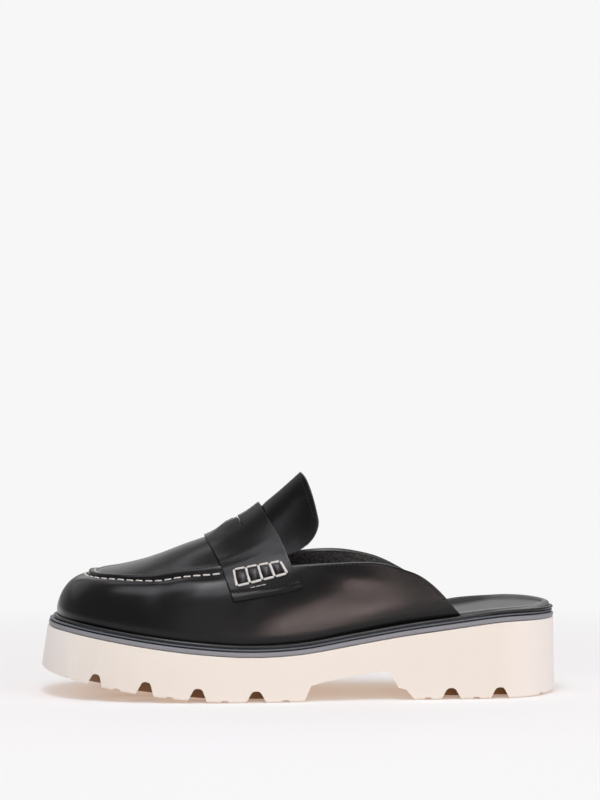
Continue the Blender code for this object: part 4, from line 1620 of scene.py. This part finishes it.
def run(tree, guide, outward):
    """A guide line of points settled on a surface, with its normals and its length so far."""
    settled = [settle(tree, point, out) for point, out in zip(guide, outward)]
    spots = np.array([spot for spot, _ in settled])
    ups = np.array([normal for _, normal in settled])
    lengths = np.concatenate(([0.0], np.cumsum(np.linalg.norm(np.diff(spots, axis=0), axis=1))))
    return spots, ups, lengths


def sew(row, tree, guide, outward, stitch, sink=0.0, holes=None):
    """Running stitches along a guide line."""
    spots, ups, lengths = run(tree, guide, outward)

    def at(distance):
        spot = [np.interp(distance, lengths, spots[:, axis]) for axis in range(3)]
        up = [np.interp(distance, lengths, ups[:, axis]) for axis in range(3)]
        return Vector(spot), Vector(up).normalized()

    width = stitch.width
    pitch = (stitch.length + stitch.gap) * MM
    for number in range(int(lengths[-1] / pitch)):
        first, up_first = at(number * pitch)
        second, up_second = at(number * pitch + stitch.length * MM)
        up = (up_first + up_second).normalized()
        rise = up * (width * THREAD_PROUD - sink) * MM
        row.add(first + rise, second + rise, up, width * MM)
        if holes:
            along = (second - first).normalized() * HOLE_LENGTH * MM
            for spot in (first, second):
                holes.add(spot - up * HOLE_SINK * width * MM, spot + along, up, HOLE_WIDTH * width * MM)


def seam_guide(offset, until):
    """Points along the apron seam, from the outer side round the toe, at an offset in from it."""
    stations = [x for x in front_stations() if x <= until] + [until]
    points = []
    outward = []
    for _, spoke in round_the_toe(stations):
        if offset < 0:
            point = spoke.wall(math.acos(min(-offset / spoke.seam_in, 1.0)))
        else:
            point = spoke.crown(offset)
        points.append(point)
        outward.append((*(-SEAM_LEAN * spoke.inward), 1.0))
    return points, outward


def topline_guide(side):
    """Points just below the topline of one wing."""
    points = []
    outward = []
    for x in spread(TOPLINE_ROW_FROM, WING_END - TOPLINE_ROW_SHORT, TOPLINE_ROW_STEPS):
        spoke = Spoke(side, x)
        height = spoke.seam_up * math.sin(topline_angle(side, x)) - TOPLINE_ROW_BELOW
        angle = math.asin(max(min(height / spoke.seam_up, 1.0), 0.0))
        points.append(spoke.wall(angle))
        outward.append((0.0, side, TOPLINE_UP))
    return points, outward


def lay_thread(row, ends, width):
    """A single thick stitch between two settled points."""
    (first, up_first), (second, up_second) = ends
    up = (up_first + up_second).normalized()
    rise = up * width * BOX_PROUD * MM
    row.add(first + rise, second + rise, up, width * MM)


def sew_seam(upper, holes):
    """Thick stitches round the outside of the apron seam."""
    row = StitchRow(SEAM_ARCH)
    sew(row, upper, *seam_guide(*SEAM_ROW), SEAM_STITCH, holes=holes)
    row.finish("seam_stitches", "white_thread", WHITE_THREAD)


def sew_apron(upper):
    """Small stitches inside the seam's roll, at the toe."""
    row = StitchRow(SEAM_ARCH)
    sew(row, upper, *seam_guide(*APRON_ROW), APRON_STITCH)
    row.finish("apron_stitches", "white_thread", WHITE_THREAD)


def on_strap(strap, strap_side, down, across):
    """A spot on the strap's face, and its normal."""
    return settle(strap, strap_side.place(down, across), (0.0, strap_side.side, BOX_UP))


def sew_box(row, strap, strap_side, holes):
    """Bars and rungs of one end's box stitches, with a dark mark of painted shade in the hole at each end
    of a rung.
    """
    for bar in BARS:
        corners = ((across_share(BOX_TOP, bar.top), bar.top), (across_share(BOX_FOOT, bar.foot), bar.foot))
        lay_thread(row, [on_strap(strap, strap_side, *corner) for corner in corners], BAR_WIDTH)
    aside = Vector((RUNG_HOLE_HALF * MM, 0.0, 0.0))
    for left, right in zip(BARS, BARS[1:]):
        for line, first, second in ((BOX_TOP, left.top, right.top), (BOX_FOOT, left.foot, right.foot)):
            shares = (first + RUNG_INSET, second - RUNG_INSET)
            ends = [on_strap(strap, strap_side, across_share(line, share), share) for share in shares]
            lay_thread(row, ends, RUNG_WIDTH)
            for spot, up in ends:
                holes.add(spot - aside, spot + aside, up, RUNG_HOLE_WIDTH * MM)


def sew_boxes(strap, holes):
    """Box stitches on both ends of the strap, and a short thin row under the outer one."""
    row = StitchRow(BOX_ARCH)
    for strap_side in STRAP_SIDES.values():
        sew_box(row, strap, strap_side, holes)
    guide = [STRAP_SIDES[LATERAL].place(MARK_DOWN, share) for share in spread(*MARK_ACROSS, MARK_STEPS)]
    sew(row, strap, guide, [(0.0, LATERAL, STRAP_UP)] * len(guide), MARK_STITCH, sink=MARK_SINK)
    row.finish("box_stitches", "white_thread", WHITE_THREAD)


def sew_fine(strap, tongue):
    """Black rows along the strap's ends and the tongue's rear edge."""
    row = StitchRow(FINE_ARCH)
    for side, strap_side in STRAP_SIDES.items():
        for shift in END_SHIFTS:
            guide = [
                strap_side.place(across_share(END_ROW, share) + shift, share)
                for share in spread(*END_ACROSS, FINE_STEPS)
            ]
            sew(row, strap, guide, [(0.0, side, STRAP_UP)] * len(guide), END_STITCH)
    back, aside, up = TONGUE_LOOK
    for side in SIDES:
        outs = spread(*TONGUE_ROW_OUT, FINE_STEPS)
        guide = [tongue_point(side, out, tongue_rear(out) - TONGUE_ROW_IN)[0] for out in outs]
        sew(row, tongue, guide, [(back, aside * side, up)] * len(guide), TONGUE_STITCH)
    row.finish("fine_stitches", "black_thread", BLACK_THREAD)


def sew_topline(upper):
    """Brown rows below the topline of both wings."""
    row = StitchRow(FINE_ARCH)
    for side in SIDES:
        sew(row, upper, *topline_guide(side), TOPLINE_STITCH)
    row.finish("topline_stitches", "black_thread", BROWN_THREAD)


def make_stitches(upper, strap, tongue):
    upper, strap, tongue = (tree_of(piece) for piece in (upper, strap, tongue))
    # Dark marks of painted shade at the stitch holes
    holes = StitchRow(0.0)
    sew_seam(upper, holes)
    sew_apron(upper)
    sew_boxes(strap, holes)
    sew_fine(strap, tongue)
    sew_topline(upper)
    holes.finish("stitch_hole_shades", "black_thread", HOLE_SHADE)


# Studio


CAMERA_TARGET = Vector((0.0, 0.00276, 0.0431))
CAMERA_DISTANCE = 1.8
CAMERA_AZIMUTH = -1.0
CAMERA_ELEVATION = 5.5
PIXELS_PER_METRE = 1862.0
IMAGE_SIZE = (600, 800)
TARGET_PIXEL = (298.0, 610.4)
SENSOR = 36.0
CLIP = (0.05, 60.0)

# Soft lights round the shoe: place, aim, size and glow
Light = namedtuple("Light", "name spot aim size glow colour")
LIGHTS = (
    Light("overhead", (0.75, -0.35, 1.45), (0.0, 0.0, 0.05), (1.3, 1.5), 1.0, (1.0, 0.99, 1.0)),
    Light("key_left", (-0.36, -0.36, 1.41), (-0.04, 0.0, 0.06), (0.7, 0.7), 2.6, (0.95, 0.94, 1.0)),
    Light("key_front", (-0.05, -0.56, 1.39), (-0.04, 0.0, 0.06), (0.3, 0.7), 7.3, (0.95, 0.94, 1.0)),
    Light("key_low", (-0.09, -1.03, 1.1), (-0.05, 0.0, 0.06), (0.35, 0.35), 4.4, (0.95, 0.94, 1.0)),
    Light("behind", (0.05, 2.4, 1.3), (0.0, 0.0, 0.05), (1.7, 1.6), 0.78, (1.0, 1.0, 1.0)),
    Light("back_left", (-0.43, 0.61, 1.3), (-0.03, 0.0, 0.07), (0.35, 0.25), 2.0, (0.96, 0.95, 1.0)),
    Light("fill_right", (1.256, -0.725, 0.676), (0.0, 0.0, 0.03), (0.9, 0.7), 0.7, (1.0, 0.98, 0.95)),
    Light("fill_left", (-1.02, 0.8, 0.94), (0.0, 0.0, 0.03), (1.1, 0.8), 0.45, (1.0, 0.98, 0.98)),
    Light("front_panel", (-0.07, -1.57, 0.52), (-0.05, 0.0, 0.05), (0.56, 0.96), 0.6, (1.0, 0.98, 1.0)),
    Light("quarter_low", (0.48, -1.3, 0.1), (0.03, -0.036, 0.055), (0.28, 0.1), 25.0, (1.0, 0.77, 0.73)),
)
PALE = 0.93
ROOM_LIGHT = 0.33
# Near the shoe the floor glows warm, which paints warm shade under the shoe and a warm bounce; its colour
# tops the lit floor up to neutral pale
FLOOR_COLOUR = rgb(0.6, 0.69, 0.735)
FLOOR_GLOW = rgb(0.315, 0.215, 0.165)
FLOOR_LIT_TO = 0.19
FLOOR_PALE_FROM = 0.5
FLOOR_RAMP = 0.5
FLOOR_RADIUS = 14.0
FLOOR_SIDES = 96
FLOOR_DROP = 0.0002


def make_camera():
    """Camera at the photo's angle, turned so that the target falls on its pixel."""
    focal = PIXELS_PER_METRE * CAMERA_DISTANCE
    data = bpy.data.cameras.new("camera")
    data.sensor_width = SENSOR
    data.lens = SENSOR * focal / IMAGE_SIZE[1]
    data.clip_start, data.clip_end = CLIP
    camera = bpy.data.objects.new("camera", data)
    bpy.context.scene.collection.objects.link(camera)
    azimuth = math.radians(CAMERA_AZIMUTH)
    elevation = math.radians(CAMERA_ELEVATION)
    level_reach = math.cos(elevation)
    back = Vector((math.sin(azimuth) * level_reach, -math.cos(azimuth) * level_reach, math.sin(elevation)))
    pitch = math.atan((TARGET_PIXEL[1] - IMAGE_SIZE[1] / 2) / focal)
    yaw = math.atan((TARGET_PIXEL[0] - IMAGE_SIZE[0] / 2) / focal)
    camera.location = CAMERA_TARGET + back * CAMERA_DISTANCE
    camera.rotation_euler = Euler((math.pi / 2 - elevation + pitch, 0.0, azimuth + yaw))
    bpy.context.scene.camera = camera


def make_light(light):
    data = bpy.data.lights.new(light.name, "AREA")
    data.shape = "RECTANGLE"
    data.size = light.size[0]
    data.size_y = light.size[1]
    data.energy = light.glow * math.pi * light.size[0] * light.size[1]
    data.color = light.colour
    lamp = bpy.data.objects.new(light.name, data)
    bpy.context.scene.collection.objects.link(lamp)
    lamp.location = light.spot
    lamp.rotation_euler = (Vector(light.aim) - Vector(light.spot)).to_track_quat("-Z", "Y").to_euler()
    lamp.visible_camera = False


def make_world():
    """Pale to the camera, and a dimmer warm white as light."""
    world = bpy.data.worlds.new("studio")
    world.use_nodes = True
    nodes = world.node_tree.nodes
    links = world.node_tree.links
    seen = nodes.new("ShaderNodeBackground")
    seen.inputs["Color"].default_value = rgb(PALE, PALE, PALE)
    path = nodes.new("ShaderNodeLightPath")
    choose = nodes.new("ShaderNodeMixShader")
    room = nodes["Background"]
    room.inputs["Color"].default_value = rgb(1.0, 0.98, 0.97)
    room.inputs["Strength"].default_value = ROOM_LIGHT
    links.new(path.outputs["Is Camera Ray"], choose.inputs[0])
    links.new(room.outputs[0], choose.inputs[1])
    links.new(seen.outputs[0], choose.inputs[2])
    links.new(choose.outputs[0], nodes["World Output"].inputs["Surface"])
    bpy.context.scene.world = world


def pale_floor(name):
    """Floor that takes light near the shoe over a warm glow, which paints its shadows warm and lights the
    sole warmly, and glows as pale as the background further off.
    """
    finish = Finish(name)
    away = finish.node("ShaderNodeVectorMath", {"operation": "LENGTH"}, {0: finish.spot()}, out="Value")
    stops = (FLOOR_LIT_TO * FLOOR_RAMP, 0.0), (FLOOR_PALE_FROM * FLOOR_RAMP, 1.0)
    far = finish.ramp(away * FLOOR_RAMP, *stops)
    return finish.set(
        Base_Color=finish.mix(far, FLOOR_COLOUR, rgb(0.0, 0.0, 0.0)),
        Roughness=0.9,
        Specular_IOR_Level=0.0,
        Emission_Color=finish.mix(far, FLOOR_GLOW, rgb(PALE, PALE, PALE)),
        Emission_Strength=1.0,
    )


def make_studio():
    """Pale floor that fades to the same pale background, and soft lights."""
    make_world()
    deselect()
    bpy.ops.mesh.primitive_circle_add(
        vertices=FLOOR_SIDES, radius=FLOOR_RADIUS, fill_type="NGON", location=(0.0, 0.0, -FLOOR_DROP)
    )
    floor = bpy.context.object
    floor.name = "floor"
    dress(floor, pale_floor("pale_floor"))
    for light in LIGHTS:
        make_light(light)
    bpy.context.scene.view_settings.view_transform = "Standard"


make_camera()
make_outsole()
make_midsole()
make_welt()
make_insole()
upper_piece = make_upper()
strap_piece = make_strap()
make_slot_backing()
tongue_piece = make_tongue()
make_stitches(upper_piece, strap_piece, tongue_piece)
make_studio()
